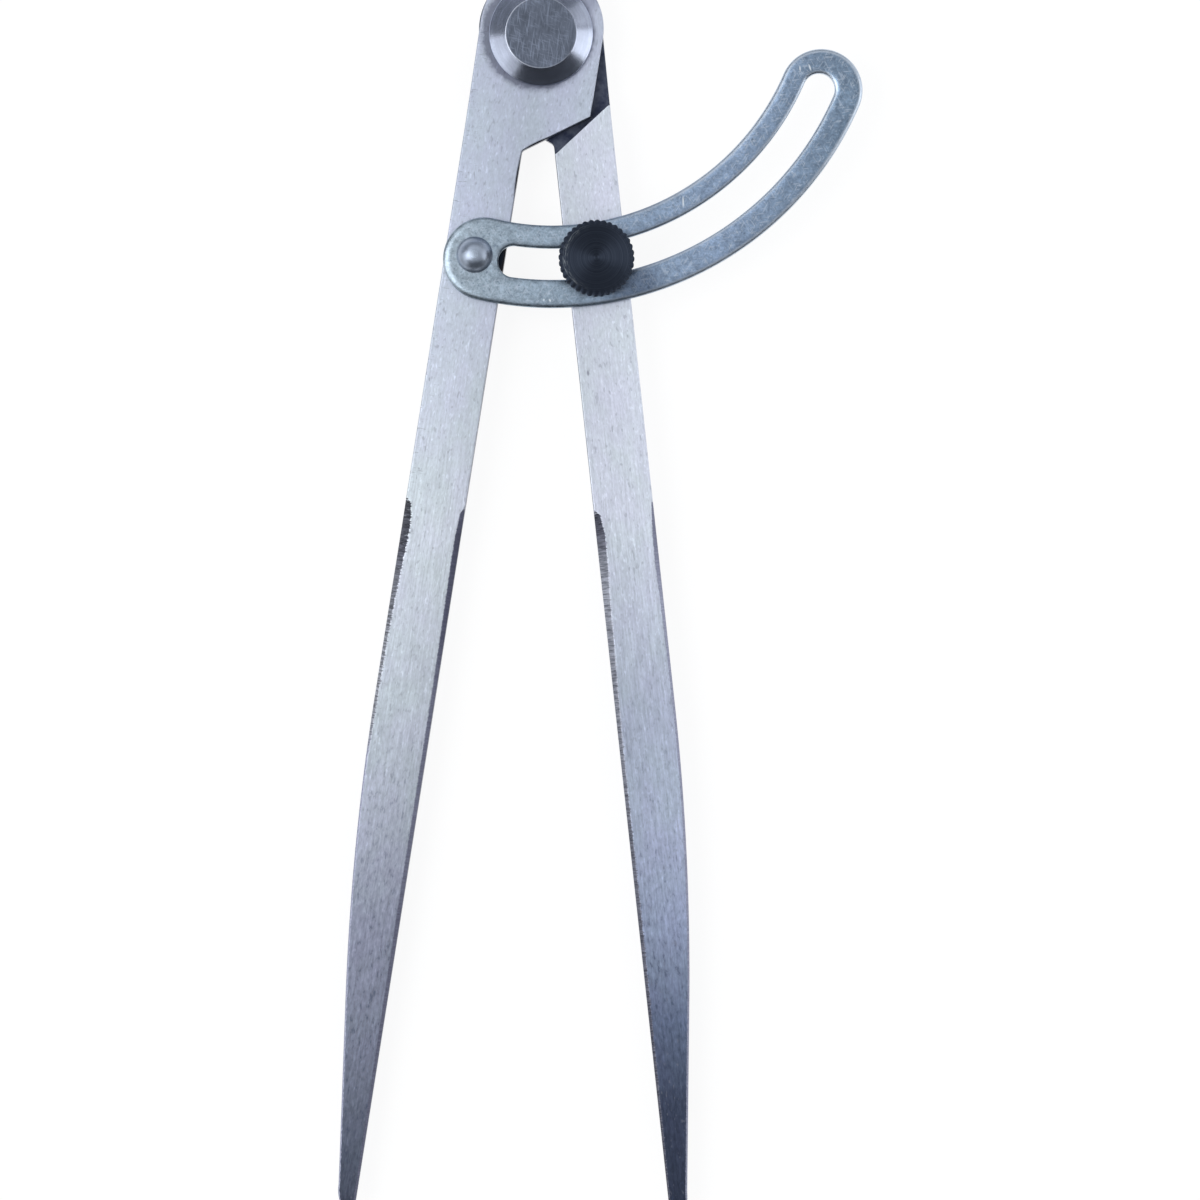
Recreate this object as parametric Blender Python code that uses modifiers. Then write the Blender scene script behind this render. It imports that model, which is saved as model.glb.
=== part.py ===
"""Wing divider: two half-lapped steel legs, a slotted quadrant between them and a knurled thumb screw.

Metres, +Z up. The divider lies flat with its front up. The pivot's axis is Z, the ground tail of the
pivot rivet is at the origin, and the tips point along -Y, each leg turned out by half of the opening.
In a leg, u runs out from the line through the pivot to the leg's outer edge, and v runs from the pivot
to the tip. The two legs are one blank, turned over for the left leg, whose slant stop is cut further out.
"""
import math

import bmesh
import bpy
from mathutils import Matrix, Vector

# Setting, and the gap kept between pieces that touch or run on each other
OPENING = math.radians(15.2)
CLEARANCE = 0.0003

# Leg blank
LEG_LENGTH = 0.2390
LEG_WIDTH = 0.0120
LEG_THICKNESS = 0.0060
HEAD_RADIUS = 0.01235
HEAD_RISE = 0.0013
LEFT_STOP_REACH = 0.0193
RIGHT_STOP_REACH = 0.0179
LAP_SLOPE = math.radians(35.2)
CREST_FILLET = 0.0012

# Taper of the leg's outer edge, its thinning back from the tip, and the ground nose at the tip
TAPER_ANGLE = math.radians(6.84)
TAPER_BEND_RADIUS = 0.5000
THINNING_LENGTH = 0.0920
NOSE_LENGTH = 0.0053
NOSE_WIDTH = 0.0039
NOSE_THICKNESS = 0.0028
TIP_WIDTH = 0.0005
TIP_THICKNESS = 0.0010

# Stopped chamfers on the leg's edges: where they run in, and their widths there and at the nose
CHAMFER_START = 0.0960
CHAMFER_RUN_IN = 0.0050
INNER_CHAMFER = 0.0016
INNER_CHAMFER_END = 0.0005
OUTER_CHAMFER = 0.0011
OUTER_CHAMFER_END = 0.0003
EDGE_BREAK = 0.0002

# Pivot rivet and the cone washer at the rear, which has the head's form
CONE_RADIUS = 0.0104
CONE_FLAT_RADIUS = 0.00706
CONE_HEIGHT = 0.0028
CONE_RIM = 0.0005
PIVOT_SHANK_RADIUS = 0.0040
PIVOT_TAIL_RADIUS = 0.0052
PIVOT_TAIL_DEPTH = 0.0014

# Wing: a stamped quadrant whose arcs share one centre, found from the rivet by the radius and the lean
WING_THICKNESS = 0.0020
WING_EDGE_ROUND = 0.0006
WING_RADIUS = 0.05825
WING_LEAN = math.radians(-14.1)
WING_SPAN = math.radians(80.1)
WING_SET_BACK = math.radians(2.0)
INNER_RAIL = 0.0046
OUTER_RAIL = 0.0056
SLOT_PLAY = 0.00063
SLOT_DROP = 0.0002
SLOT_START = math.radians(5.8)

# Wing rivet, through the wing and the left leg
RIVET_PLACE = 0.0458
DOME_RADIUS = 0.0036
DOME_HEIGHT = 0.0022
RIVET_SHANK_RADIUS = 0.0016
RIVET_TAIL_RADIUS = 0.0026
RIVET_TAIL_DEPTH = 0.0012

# Thumb screw, through the slot into the right leg
SCREW_PLACE = 0.0462
SCREW_SHANK_RADIUS = 0.0025
SCREW_POINT = 0.0004
SCREW_SHORT_OF_REAR = 0.0005
COLLAR_RADIUS = 0.0056
COLLAR_HEIGHT = 0.0014
KNOB_RADIUS = 0.00756
KNOB_HEIGHT = 0.0064
KNOB_CHAMFER = 0.0008
KNURL_TEETH = 36
KNURL_DEPTH = 0.00045

# Heights from the flat that the divider rests on
LEG_REAR = CONE_HEIGHT + CLEARANCE
LEG_MIDDLE = LEG_REAR + LEG_THICKNESS / 2
LEG_FRONT = LEG_REAR + LEG_THICKNESS
CONE_BASE = LEG_FRONT + CLEARANCE
WING_REAR = LEG_FRONT + CLEARANCE
WING_FRONT = WING_REAR + WING_THICKNESS
DOME_BASE = WING_FRONT + CLEARANCE
COLLAR_BASE = WING_FRONT + CLEARANCE
SCREW_END = LEG_REAR + SCREW_SHORT_OF_REAR

# Places that follow from the sizes
INNER_EDGE = CLEARANCE / 2
OUTER_EDGE = INNER_EDGE + LEG_WIDTH
LEG_CENTRE = INNER_EDGE + LEG_WIDTH / 2
NOSE_START = LEG_LENGTH - NOSE_LENGTH
TAPER_SLOPE = math.tan(TAPER_ANGLE)
TAPER_BEND = TAPER_BEND_RADIUS * TAPER_SLOPE
TAPER_START = NOSE_START - (LEG_WIDTH - NOSE_WIDTH) / TAPER_SLOPE - TAPER_BEND / 2
THINNING_START = LEG_LENGTH - THINNING_LENGTH
LONGER_REACH = max(LEFT_STOP_REACH, RIGHT_STOP_REACH)
CORNER_V = (LONGER_REACH - HEAD_RADIUS * math.sin(LAP_SLOPE)) / math.cos(LAP_SLOPE)
CORNER_SWEEP = math.hypot(HEAD_RADIUS, CORNER_V)
SHOULDER_REACH = max(LONGER_REACH, CORNER_SWEEP) + CLEARANCE

# Fineness of round stretches, and how far round the head from its top the first section stands
ROUND_STEPS = 48
DOME_STEPS = 8
HEAD_STEPS = 12
HEAD_FIRST_TURN = math.radians(6)
FILLET_STEPS = 4
RUN_IN_STEPS = 5
TAPER_STEPS = 10
NOSE_STEPS = 6
WING_STEPS = 40
ROUND_END_STEPS = 16


def clear_scene():
    """Remove every object, so that the scene holds only the divider."""
    for obj in list(bpy.data.objects):
        bpy.data.objects.remove(obj, do_unlink=True)


def new_collection(name):
    collection = bpy.data.collections.new(name)
    bpy.context.scene.collection.children.link(collection)
    return collection


def new_material(name, colour, roughness, metallic=1.0):
    material = bpy.data.materials.new(name)
    material.use_nodes = True
    shader = material.node_tree.nodes["Principled BSDF"]
    shader.inputs["Base Color"].default_value = (*colour, 1.0)
    shader.inputs["Roughness"].default_value = roughness
    shader.inputs["Metallic"].default_value = metallic
    return material


def new_piece(name, mesh, collection, material, parent=None):
    """Link a mesh as one named sub-part, shaded smooth apart from its sharp edges."""
    piece = bpy.data.objects.new(name, mesh)
    collection.objects.link(piece)
    piece.parent = parent
    mesh.materials.append(material)
    mesh.shade_smooth()
    mesh.set_sharp_from_angle(angle=math.radians(30))
    return piece


def new_frame(name, collection, location, turn, parent=None):
    """An empty on a joint's axis, turned about Z."""
    frame = bpy.data.objects.new(name, None)
    frame.empty_display_size = 0.01
    collection.objects.link(frame)
    frame.parent = parent
    frame.location = location
    frame.rotation_euler.z = turn
    return frame


def to_mesh(name, bm):
    mesh = bpy.data.meshes.new(name)
    bmesh.ops.recalc_face_normals(bm, faces=bm.faces)
    bm.to_mesh(mesh)
    bm.free()
    return mesh


def loft(name, rings):
    """Skin a row of rings that have as many points each, and close both ends."""
    bm = bmesh.new()
    rows = [[bm.verts.new(point) for point in ring] for ring in rings]
    for near, far in zip(rows, rows[1:]):
        for i in range(len(near)):
            j = (i + 1) % len(near)
            bm.faces.new((near[i], near[j], far[j], far[i]))
    bm.faces.new(rows[0])
    bm.faces.new(reversed(rows[-1]))
    return to_mesh(name, bm)


def turned(name, profile, closed=False):
    """A profile of (radius, height) points, listed down its outer side, turned about Z."""
    bm = bmesh.new()
    points = [bm.verts.new((radius, 0, height)) for radius, height in profile]
    for start, end in zip(points, points[1:]):
        bm.edges.new((start, end))
    if closed:
        bm.edges.new((points[-1], points[0]))
    mesh = bpy.data.meshes.new(name)
    bm.to_mesh(mesh)
    bm.free()
    return mesh


def turn_about_z(piece):
    screw = piece.modifiers.new("Turn", "SCREW")
    screw.axis = "Z"
    screw.angle = math.tau
    screw.steps = ROUND_STEPS
    screw.render_steps = ROUND_STEPS
    screw.use_merge_vertices = True
    screw.merge_threshold = 0.00001
    screw.use_smooth_shade = False


def cut(piece, cutter):
    boolean = piece.modifiers.new("Cut " + cutter.name, "BOOLEAN")
    boolean.operation = "DIFFERENCE"
    boolean.solver = "EXACT"
    boolean.object = cutter


def new_cutter(name, mesh, collection, parent):
    cutter = bpy.data.objects.new(name, mesh)
    collection.objects.link(cutter)
    cutter.parent = parent
    cutter.hide_render = True
    cutter.display_type = "WIRE"
    return cutter


def head_edge(stop_reach):
    """Inner edge of the head as (v, u) points: its round, its side, its slant stop and the crest fillet."""
    points = []
    corner_v = (stop_reach - HEAD_RADIUS * math.sin(LAP_SLOPE)) / math.cos(LAP_SLOPE)
    for step in range(HEAD_STEPS + 1):
        turn = HEAD_FIRST_TURN + (math.pi / 2 - HEAD_FIRST_TURN) * step / HEAD_STEPS
        points.append((-HEAD_RISE - HEAD_RADIUS * math.cos(turn), -HEAD_RADIUS * math.sin(turn)))
    points.append((corner_v, -HEAD_RADIUS))
    centre_u = INNER_EDGE - CREST_FILLET
    centre_v = (stop_reach + CREST_FILLET + centre_u * math.sin(LAP_SLOPE)) / math.cos(LAP_SLOPE)
    for step in range(FILLET_STEPS + 1):
        turn = (math.pi / 2 - LAP_SLOPE) * (1 - step / FILLET_STEPS)
        points.append((centre_v - CREST_FILLET * math.sin(turn), centre_u + CREST_FILLET * math.cos(turn)))
    return points


def outer_edge(v):
    """Outer edge at v: the head's round, a straight side, a long bend, a straight taper and the nose."""
    head_end = -HEAD_RISE
    if v < head_end:
        return math.sqrt(HEAD_RADIUS ** 2 - (v - head_end) ** 2)
    if v < SHOULDER_REACH:
        blend = (v - head_end) / (SHOULDER_REACH - head_end)
        return HEAD_RADIUS + (OUTER_EDGE - HEAD_RADIUS) * blend
    if v > NOSE_START:
        along = min((v - NOSE_START) / NOSE_LENGTH, 1.0)
        return INNER_EDGE + TIP_WIDTH + (NOSE_WIDTH - TIP_WIDTH) * math.sqrt(1 - along ** 2)
    past = max(v - TAPER_START, 0.0)
    if past < TAPER_BEND:
        return OUTER_EDGE - past ** 2 / (2 * TAPER_BEND_RADIUS)
    return OUTER_EDGE - TAPER_SLOPE * (past - TAPER_BEND / 2)


def half_thickness(v):
    """Half of the leg's thickness at v: even, then thinned to the nose, then brought to the blunt tip."""
    if v < THINNING_START:
        return LEG_THICKNESS / 2
    if v < NOSE_START:
        along = (v - THINNING_START) / (NOSE_START - THINNING_START)
        return (LEG_THICKNESS + (NOSE_THICKNESS - LEG_THICKNESS) * along) / 2
    along = min((v - NOSE_START) / NOSE_LENGTH, 1.0)
    return (TIP_THICKNESS + (NOSE_THICKNESS - TIP_THICKNESS) * math.sqrt(1 - along ** 2)) / 2


def chamfer(v, start_width, end_width, limit):
    """Chamfer width at v: a broken edge, then a scooped run-in, then a width that falls to the nose."""
    full = CHAMFER_START + CHAMFER_RUN_IN
    if v < full:
        along = max(v - CHAMFER_START, 0.0) / CHAMFER_RUN_IN
        width = EDGE_BREAK + (start_width - EDGE_BREAK) * math.sqrt(along * (2 - along))
    else:
        along = min((v - full) / (NOSE_START - full), 1.0)
        width = start_width + (end_width - start_width) * along
    return min(width, limit)


def blank_stations(stop_reach):
    """Stations of the blank as (v, inner u), from the top of the head to the tip."""
    run_in = [CHAMFER_START + CHAMFER_RUN_IN * (step / RUN_IN_STEPS) ** 2 for step in range(RUN_IN_STEPS + 1)]
    taper = [TAPER_START + (NOSE_START - TAPER_START) * step / TAPER_STEPS for step in range(TAPER_STEPS + 1)]
    nose_turns = [math.pi / 2 * step / NOSE_STEPS for step in range(1, NOSE_STEPS + 1)]
    nose = [NOSE_START + NOSE_LENGTH * math.sin(turn) for turn in nose_turns]
    straight = sorted(set(run_in + taper + nose + [THINNING_START]))
    return head_edge(stop_reach) + [(v, INNER_EDGE) for v in straight]


def leg_blank(stop_reach):
    """The forged and ground blank as a loft of eight-cornered sections: x = u, y = -v, z about its middle."""
    rings = []
    for v, inner in blank_stations(stop_reach):
        outer = outer_edge(v)
        half = half_thickness(v)
        limit = min(0.35 * (outer - inner), 0.6 * half)
        near = chamfer(v, INNER_CHAMFER, INNER_CHAMFER_END, limit)
        far = chamfer(v, OUTER_CHAMFER, OUTER_CHAMFER_END, limit)
        section = [
            (inner, near - half),
            (inner + near, -half),
            (outer - far, -half),
            (outer, far - half),
            (outer, half - far),
            (outer - far, half),
            (inner + near, half),
            (inner, half - near),
        ]
        rings.append([(u, -v, z) for u, z in section])
    return rings


def lap_cutter(collection, leg):
    """Block that takes away the front half of the blank's head, down to the slant shoulder."""
    size = 4 * SHOULDER_REACH
    bm = bmesh.new()
    bmesh.ops.create_cube(bm, size=size)
    floor = Matrix.Translation((0, size / 2 - SHOULDER_REACH, size / 2 - CLEARANCE / 2))
    bm.transform(Matrix.Rotation(LAP_SLOPE, 4, "Z") @ floor)
    cutter = new_cutter(leg.name + "_lap_cutter", to_mesh("lap_cutter", bm), collection, leg)
    cut(leg, cutter)


def shank(radius, top, tail_radius, tail_depth, tail_end, grow=0.0, reach=0.0):
    """Profile of a rivet's shank and closed tail, or with grow and reach, of the hole that takes it."""
    slope = (tail_radius - radius) / tail_depth
    return [
        (radius + grow, top + reach),
        (radius + grow, tail_end + tail_depth),
        (tail_radius + grow + slope * reach, tail_end - reach),
        (0, tail_end - reach),
    ]


def pivot_shank(top, grow=0.0, reach=0.0):
    return shank(PIVOT_SHANK_RADIUS, top, PIVOT_TAIL_RADIUS, PIVOT_TAIL_DEPTH, 0.0, grow, reach)


def wing_rivet_shank(top, grow=0.0, reach=0.0):
    return shank(RIVET_SHANK_RADIUS, top, RIVET_TAIL_RADIUS, RIVET_TAIL_DEPTH, LEG_REAR, grow, reach)


def drill(piece, name, profile, collection, parent, location=(0, 0, 0)):
    """Cut a turned hole, whose profile lacks only the point on its axis at the top."""
    mesh = turned(name, [(0, profile[0][1])] + profile)
    cutter = new_cutter(name, mesh, collection, parent)
    cutter.location = location
    turn_about_z(cutter)
    cut(piece, cutter)


def build_left_leg(parts, cutters, frame, steel):
    """Left leg: the blank turned over, so that its half of the lap is the front one."""
    leg = new_piece("left_leg", loft("left_leg", leg_blank(LEFT_STOP_REACH)), parts, steel, frame)
    leg.location.z = LEG_MIDDLE
    leg.rotation_euler.y = math.pi
    lap_cutter(cutters, leg)
    drill(leg, "left_pivot_hole", pivot_shank(LEG_FRONT, CLEARANCE, CLEARANCE), cutters, frame)
    hole = wing_rivet_shank(LEG_FRONT, CLEARANCE, CLEARANCE)
    drill(leg, "wing_rivet_hole", hole, cutters, frame, (-LEG_CENTRE, -RIVET_PLACE, 0))
    return leg


def build_right_leg(parts, cutters, frame, steel):
    """Right leg: the blank as it is, with the thumb screw's tapped hole at the thread's outer size."""
    leg = new_piece("right_leg", loft("right_leg", leg_blank(RIGHT_STOP_REACH)), parts, steel, frame)
    leg.location.z = LEG_MIDDLE
    lap_cutter(cutters, leg)
    drill(leg, "right_pivot_hole", pivot_shank(LEG_FRONT, CLEARANCE, CLEARANCE), cutters, frame)
    radius = SCREW_SHANK_RADIUS + CLEARANCE
    tapped = [(radius, LEG_FRONT + CLEARANCE), (radius, LEG_REAR - CLEARANCE), (0, LEG_REAR - CLEARANCE)]
    drill(leg, "tapped_hole", tapped, cutters, frame, (LEG_CENTRE, -SCREW_PLACE, 0))
    return leg


def build_pivot_rivet(parts, steel):
    """Pivot rivet: a cone head with a flat top, a plain shank and a tail spread in the washer."""
    head = [
        (0, CONE_BASE + CONE_HEIGHT),
        (CONE_FLAT_RADIUS, CONE_BASE + CONE_HEIGHT),
        (CONE_RADIUS, CONE_BASE + CONE_RIM),
        (CONE_RADIUS, CONE_BASE),
    ]
    rivet = new_piece("pivot_rivet", turned("pivot_rivet", head + pivot_shank(CONE_BASE)), parts, steel)
    turn_about_z(rivet)
    return rivet


def build_pivot_washer(parts, steel):
    """Cone washer at the rear, countersunk for the rivet's tail and ground flush with it."""
    hole = pivot_shank(CONE_HEIGHT, CLEARANCE)
    ring = [
        (CONE_RADIUS, CONE_HEIGHT),
        (CONE_RADIUS, CONE_HEIGHT - CONE_RIM),
        (CONE_FLAT_RADIUS, 0),
        hole[2],
        hole[1],
        hole[0],
    ]
    washer = new_piece("pivot_washer", turned("pivot_washer", ring, closed=True), parts, steel)
    turn_about_z(washer)
    return washer


def arc(centre, radius, start, end, steps):
    """Points on an arc from one angle to another, counted anticlockwise from straight down."""
    angles = [start + (end - start) * step / steps for step in range(steps + 1)]
    return [centre + radius * Vector((math.sin(angle), -math.cos(angle))) for angle in angles]


def curved_bar(centre, inner, outer, start, end):
    """Outline of a bar bent about a centre, with full round ends on its middle line."""
    middle = (inner + outer) / 2
    half = (outer - inner) / 2
    first = arc(centre, middle, start, start, 1)[0]
    last = arc(centre, middle, end, end, 1)[0]
    outline = arc(centre, outer, start, end, WING_STEPS)
    outline += arc(last, half, end, end + math.pi, ROUND_END_STEPS)[1:-1]
    outline += arc(centre, inner, end, start, WING_STEPS)
    outline += arc(first, half, start + math.pi, start + math.tau, ROUND_END_STEPS)[1:-1]
    return outline


def slot_radius(wing_frame, right_frame):
    """Radius of the slot's middle line, from the arcs' centre to the thumb screw where it stands."""
    turn = Matrix.Rotation(right_frame.rotation_euler.z, 2)
    screw = turn @ Vector((LEG_CENTRE, -SCREW_PLACE))
    lean = wing_frame.rotation_euler.z
    centre = Vector(wing_frame.location[:2]) + WING_RADIUS * Vector((-math.sin(lean), math.cos(lean)))
    return (screw - centre).length + SLOT_DROP


def build_wing(parts, frame, right_frame, zinc):
    """Wing: a flat stamping with rounded edges, its slot and its rivet hole, drawn about the rivet."""
    centre = Vector((0, WING_RADIUS))
    middle = slot_radius(frame, right_frame)
    half_slot = SCREW_SHANK_RADIUS + SLOT_PLAY
    start = WING_SET_BACK
    end = start + WING_SPAN
    plate = curved_bar(centre, middle - half_slot - INNER_RAIL, middle + half_slot + OUTER_RAIL, start, end)
    slot = curved_bar(centre, middle - half_slot, middle + half_slot, start + SLOT_START, end)
    hole = arc(Vector((0, 0)), RIVET_SHANK_RADIUS + CLEARANCE, 0, math.tau, ROUND_STEPS // 2)[:-1]
    edge_round = min(WING_EDGE_ROUND, 0.4 * WING_THICKNESS, 0.3 * INNER_RAIL)

    curve = bpy.data.curves.new("wing_outline", "CURVE")
    curve.dimensions = "2D"
    curve.fill_mode = "BOTH"
    for outline in (plate, slot[::-1], hole[::-1]):
        spline = curve.splines.new("POLY")
        spline.points.add(len(outline) - 1)
        for point, place in zip(spline.points, outline):
            point.co = (place.x, place.y, 0, 1)
        spline.use_cyclic_u = True
    curve.extrude = WING_THICKNESS / 2 - edge_round
    curve.bevel_depth = edge_round
    curve.bevel_resolution = 1
    curve.offset = -edge_round
    outline_object = bpy.data.objects.new("wing_outline", curve)
    parts.objects.link(outline_object)
    evaluated = outline_object.evaluated_get(bpy.context.evaluated_depsgraph_get())
    mesh = bpy.data.meshes.new_from_object(evaluated)
    bpy.data.objects.remove(outline_object, do_unlink=True)

    bm = bmesh.new()
    bm.from_mesh(mesh)
    bmesh.ops.remove_doubles(bm, verts=bm.verts, dist=0.000001)
    bpy.data.meshes.remove(mesh)
    wing = new_piece("wing", to_mesh("wing", bm), parts, zinc, frame)
    wing.location.z = WING_REAR + WING_THICKNESS / 2
    return wing


def build_wing_rivet(parts, frame, steel):
    """Wing rivet: a domed head on the wing, its tail spread in the left leg's rear and ground flush."""
    sphere = (DOME_RADIUS ** 2 + DOME_HEIGHT ** 2) / (2 * DOME_HEIGHT)
    edge = math.asin(DOME_RADIUS / sphere)
    centre = DOME_BASE + DOME_HEIGHT - sphere
    turns = [edge * step / DOME_STEPS for step in range(DOME_STEPS + 1)]
    dome = [(sphere * math.sin(turn), centre + sphere * math.cos(turn)) for turn in turns]
    mesh = turned("wing_rivet", dome + wing_rivet_shank(DOME_BASE))
    rivet = new_piece("wing_rivet", mesh, parts, steel, frame)
    turn_about_z(rivet)
    rivet.location = (-LEG_CENTRE, -RIVET_PLACE, 0)
    return rivet


def build_thumb_screw(parts, frame, black):
    """Thumb screw: a straight-knurled head, a collar and a shank, as one loft of plain and toothed rings."""
    knob_base = COLLAR_BASE + COLLAR_HEIGHT
    knob_top = knob_base + KNOB_HEIGHT
    root = KNOB_RADIUS - KNURL_DEPTH
    face = root - 0.5 * KNOB_CHAMFER
    sections = [
        (knob_top, face, face),
        (knob_top - KNOB_CHAMFER, KNOB_RADIUS, root),
        (knob_base + KNOB_CHAMFER, KNOB_RADIUS, root),
        (knob_base, face, face),
        (knob_base, COLLAR_RADIUS, COLLAR_RADIUS),
        (COLLAR_BASE, COLLAR_RADIUS, COLLAR_RADIUS),
        (COLLAR_BASE, SCREW_SHANK_RADIUS, SCREW_SHANK_RADIUS),
        (SCREW_END + SCREW_POINT, SCREW_SHANK_RADIUS, SCREW_SHANK_RADIUS),
        (SCREW_END, SCREW_SHANK_RADIUS - SCREW_POINT, SCREW_SHANK_RADIUS - SCREW_POINT),
    ]
    rings = []
    for height, tip, valley in sections:
        ring = []
        for i in range(2 * KNURL_TEETH):
            turn = math.pi * i / KNURL_TEETH
            radius = valley if i % 2 else tip
            ring.append((radius * math.cos(turn), radius * math.sin(turn), height))
        rings.append(ring)
    return new_piece("thumb_screw", loft("thumb_screw", rings), parts, black, frame)


def build_divider():
    clear_scene()
    parts = new_collection("wing_divider")
    cutters = new_collection("cutters")
    steel = new_material("ground_steel", (0.50, 0.52, 0.58), 0.38)
    turned_steel = new_material("turned_steel", (0.45, 0.48, 0.53), 0.32)
    zinc = new_material("zinc_plate", (0.32, 0.37, 0.43), 0.42)
    black = new_material("black_steel", (0.030, 0.034, 0.042), 0.45)

    left_frame = new_frame("left_leg_frame", parts, (0, 0, 0), -OPENING / 2)
    right_frame = new_frame("right_leg_frame", parts, (0, 0, 0), OPENING / 2)
    rivet_place = Matrix.Rotation(-OPENING / 2, 3, "Z") @ Vector((-LEG_CENTRE, -RIVET_PLACE, 0))
    wing_frame = new_frame("wing_frame", parts, rivet_place, WING_LEAN)
    screw_frame = new_frame("thumb_screw_frame", parts, (LEG_CENTRE, -SCREW_PLACE, 0), 0, right_frame)

    build_left_leg(parts, cutters, left_frame, steel)
    build_right_leg(parts, cutters, right_frame, steel)
    build_pivot_rivet(parts, turned_steel)
    build_pivot_washer(parts, turned_steel)
    build_wing(parts, wing_frame, right_frame, zinc)
    build_wing_rivet(parts, left_frame, turned_steel)
    build_thumb_screw(parts, screw_frame, black)


build_divider()
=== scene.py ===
"""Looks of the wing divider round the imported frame: two half-lapped steel legs on a cone-headed pivot rivet,
a zinc-plated slotted wing and a black knurled thumb screw, lying flat and seen from straight above.

Metres, +Z up. In a leg, u runs out from the line through the pivot and v runs from the pivot to the tip.
"""

import math

import bmesh
import bpy
import numpy as np
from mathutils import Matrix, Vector


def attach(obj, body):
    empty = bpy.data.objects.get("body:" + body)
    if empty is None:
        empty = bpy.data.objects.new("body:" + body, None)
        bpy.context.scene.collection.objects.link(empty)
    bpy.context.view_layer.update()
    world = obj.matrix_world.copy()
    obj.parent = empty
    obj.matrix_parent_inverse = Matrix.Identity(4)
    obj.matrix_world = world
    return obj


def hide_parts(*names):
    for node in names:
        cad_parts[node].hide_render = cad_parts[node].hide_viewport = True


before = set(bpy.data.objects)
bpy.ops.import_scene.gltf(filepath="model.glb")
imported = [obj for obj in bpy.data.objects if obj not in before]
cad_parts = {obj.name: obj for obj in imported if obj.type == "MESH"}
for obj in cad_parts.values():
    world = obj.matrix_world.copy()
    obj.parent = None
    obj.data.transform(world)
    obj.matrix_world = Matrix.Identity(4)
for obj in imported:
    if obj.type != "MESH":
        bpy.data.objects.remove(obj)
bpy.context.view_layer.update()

# Camera
# The picture looks straight down on the divider from about 1.2 m, through a long lens, and the divider's
# middle line leans a little in it. Its top edge cuts off the head and its bottom edge cuts off the points.
PICTURE_CENTRE = (0.01456, -0.11288)
CAMERA_HEIGHT = 1.2091
PICTURE_LEAN = math.radians(1.4)
SENSOR_WIDTH = 36
LENS_LENGTH = 180

camera_data = bpy.data.cameras.new("camera")
camera_data.sensor_width = SENSOR_WIDTH
camera_data.lens = LENS_LENGTH
camera = bpy.data.objects.new("camera", camera_data)
camera.location = (*PICTURE_CENTRE, CAMERA_HEIGHT)
camera.rotation_euler = (0, 0, PICTURE_LEAN)
bpy.context.scene.collection.objects.link(camera)
bpy.context.scene.camera = camera
bpy.context.scene.view_settings.view_transform = "Standard"

# Legs
# Two forged bars of one shape, ground bright along their length and half-lapped at the head; the left one
# is turned over. The edges are ground off by hand from below the wing on, and the points are darker: partly
# hardened, partly painted shade for the darker reflection of the thinned taper.
LEG_TURN = math.radians(15.2) / 2
LEG_MIDDLE = 0.0061
LEG_HALF = 0.0030
LEG_FRONT = LEG_MIDDLE + LEG_HALF
LEG_LENGTH = 0.2390
INNER_EDGE = 0.00015
OUTER_EDGE = 0.01215
HEAD_RADIUS = 0.01235
HEAD_RISE = 0.0012
LAP_FLOOR = -0.00015
LAP_SLOPE = math.radians(35.2)
LEFT_STOP_REACH = 0.0193
RIGHT_STOP_REACH = 0.0179
SHOULDER_REACH = 0.01965
CORNER_ROUND = 0.0005
CREST_FILLET = 0.0012
SQUARE_FROM = 0.0360
TAPER_SLOPE = math.tan(math.radians(6.84))
TAPER_BEND_RADIUS = 0.5000
THINNING_START = 0.1470
NOSE_START = 0.2337
NOSE_WIDTH = 0.0039
NOSE_HALF = 0.0014
TIP_WIDTH = 0.0005
TIP_HALF = 0.0005
EDGE_BREAK = 0.00012
EDGE_SOFTNESS = 0.00012
EDGE_HOLD = 0.00006
BORDER_HOLD = 0.00036
FILLET_ROUND = 0.00025
BROW_ROUND = 0.00015
STOP_FROM = 0.0150
NARROW_FROM = 0.2000
GRINDING_RUN_IN = 0.0012

# Where the rings of a leg stand: round the head, down the straight, and close together where it is ground
HEAD_STEPS = 31
STRAIGHT_START = 0.0400
STRAIGHT_STEP = 0.0060
GROUND_START = 0.0940
GROUND_END = 0.2330
GROUND_STEP = 0.00025

# The ground edges at places down the leg: their width, how dark the grinding left them, 0 black to 1 grey,
# how ragged the border is and how deeply the file hatched it
SMOOTH_INNER = {
    "place": (0.0958, 0.0972, 0.1020, 0.1080, 0.1140, 0.1220, 0.1320, 0.1600, 0.1800, 0.2320),
    "width": (0.0002, 0.0007, 0.0010, 0.0010, 0.0009, 0.0008, 0.0007, 0.0007, 0.0007, 0.0004),
    "tone": (0.56, 0.55, 0.40, 0.44, 0.50, 0.50, 0.62, 0.66, 0.58, 0.58),
    "ragged": 0.00003,
    "hatch": 0.25,
}
BURNT_OUTER = {
    "place": (0.0955, 0.0968, 0.0980, 0.1010, 0.1050, 0.1080, 0.1140, 0.1220, 0.1330, 0.1430, 0.1480, 0.2320),
    "width": (0.0002, 0.0010, 0.0013, 0.0016, 0.0015, 0.0013, 0.0010, 0.0007, 0.0006, 0.0005, 0.0003, 0.0002),
    "tone": (0.26, 0.27, 0.28, 0.32, 0.44, 0.54, 0.66, 0.76, 0.82, 0.86, 1.00, 0.95),
    "ragged": 0.00005,
    "hatch": (1.0, 1.0, 1.0, 1.0, 1.0, 1.0, 1.0, 1.0, 1.0, 0.9, 0.2, 0.2),
}
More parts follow.
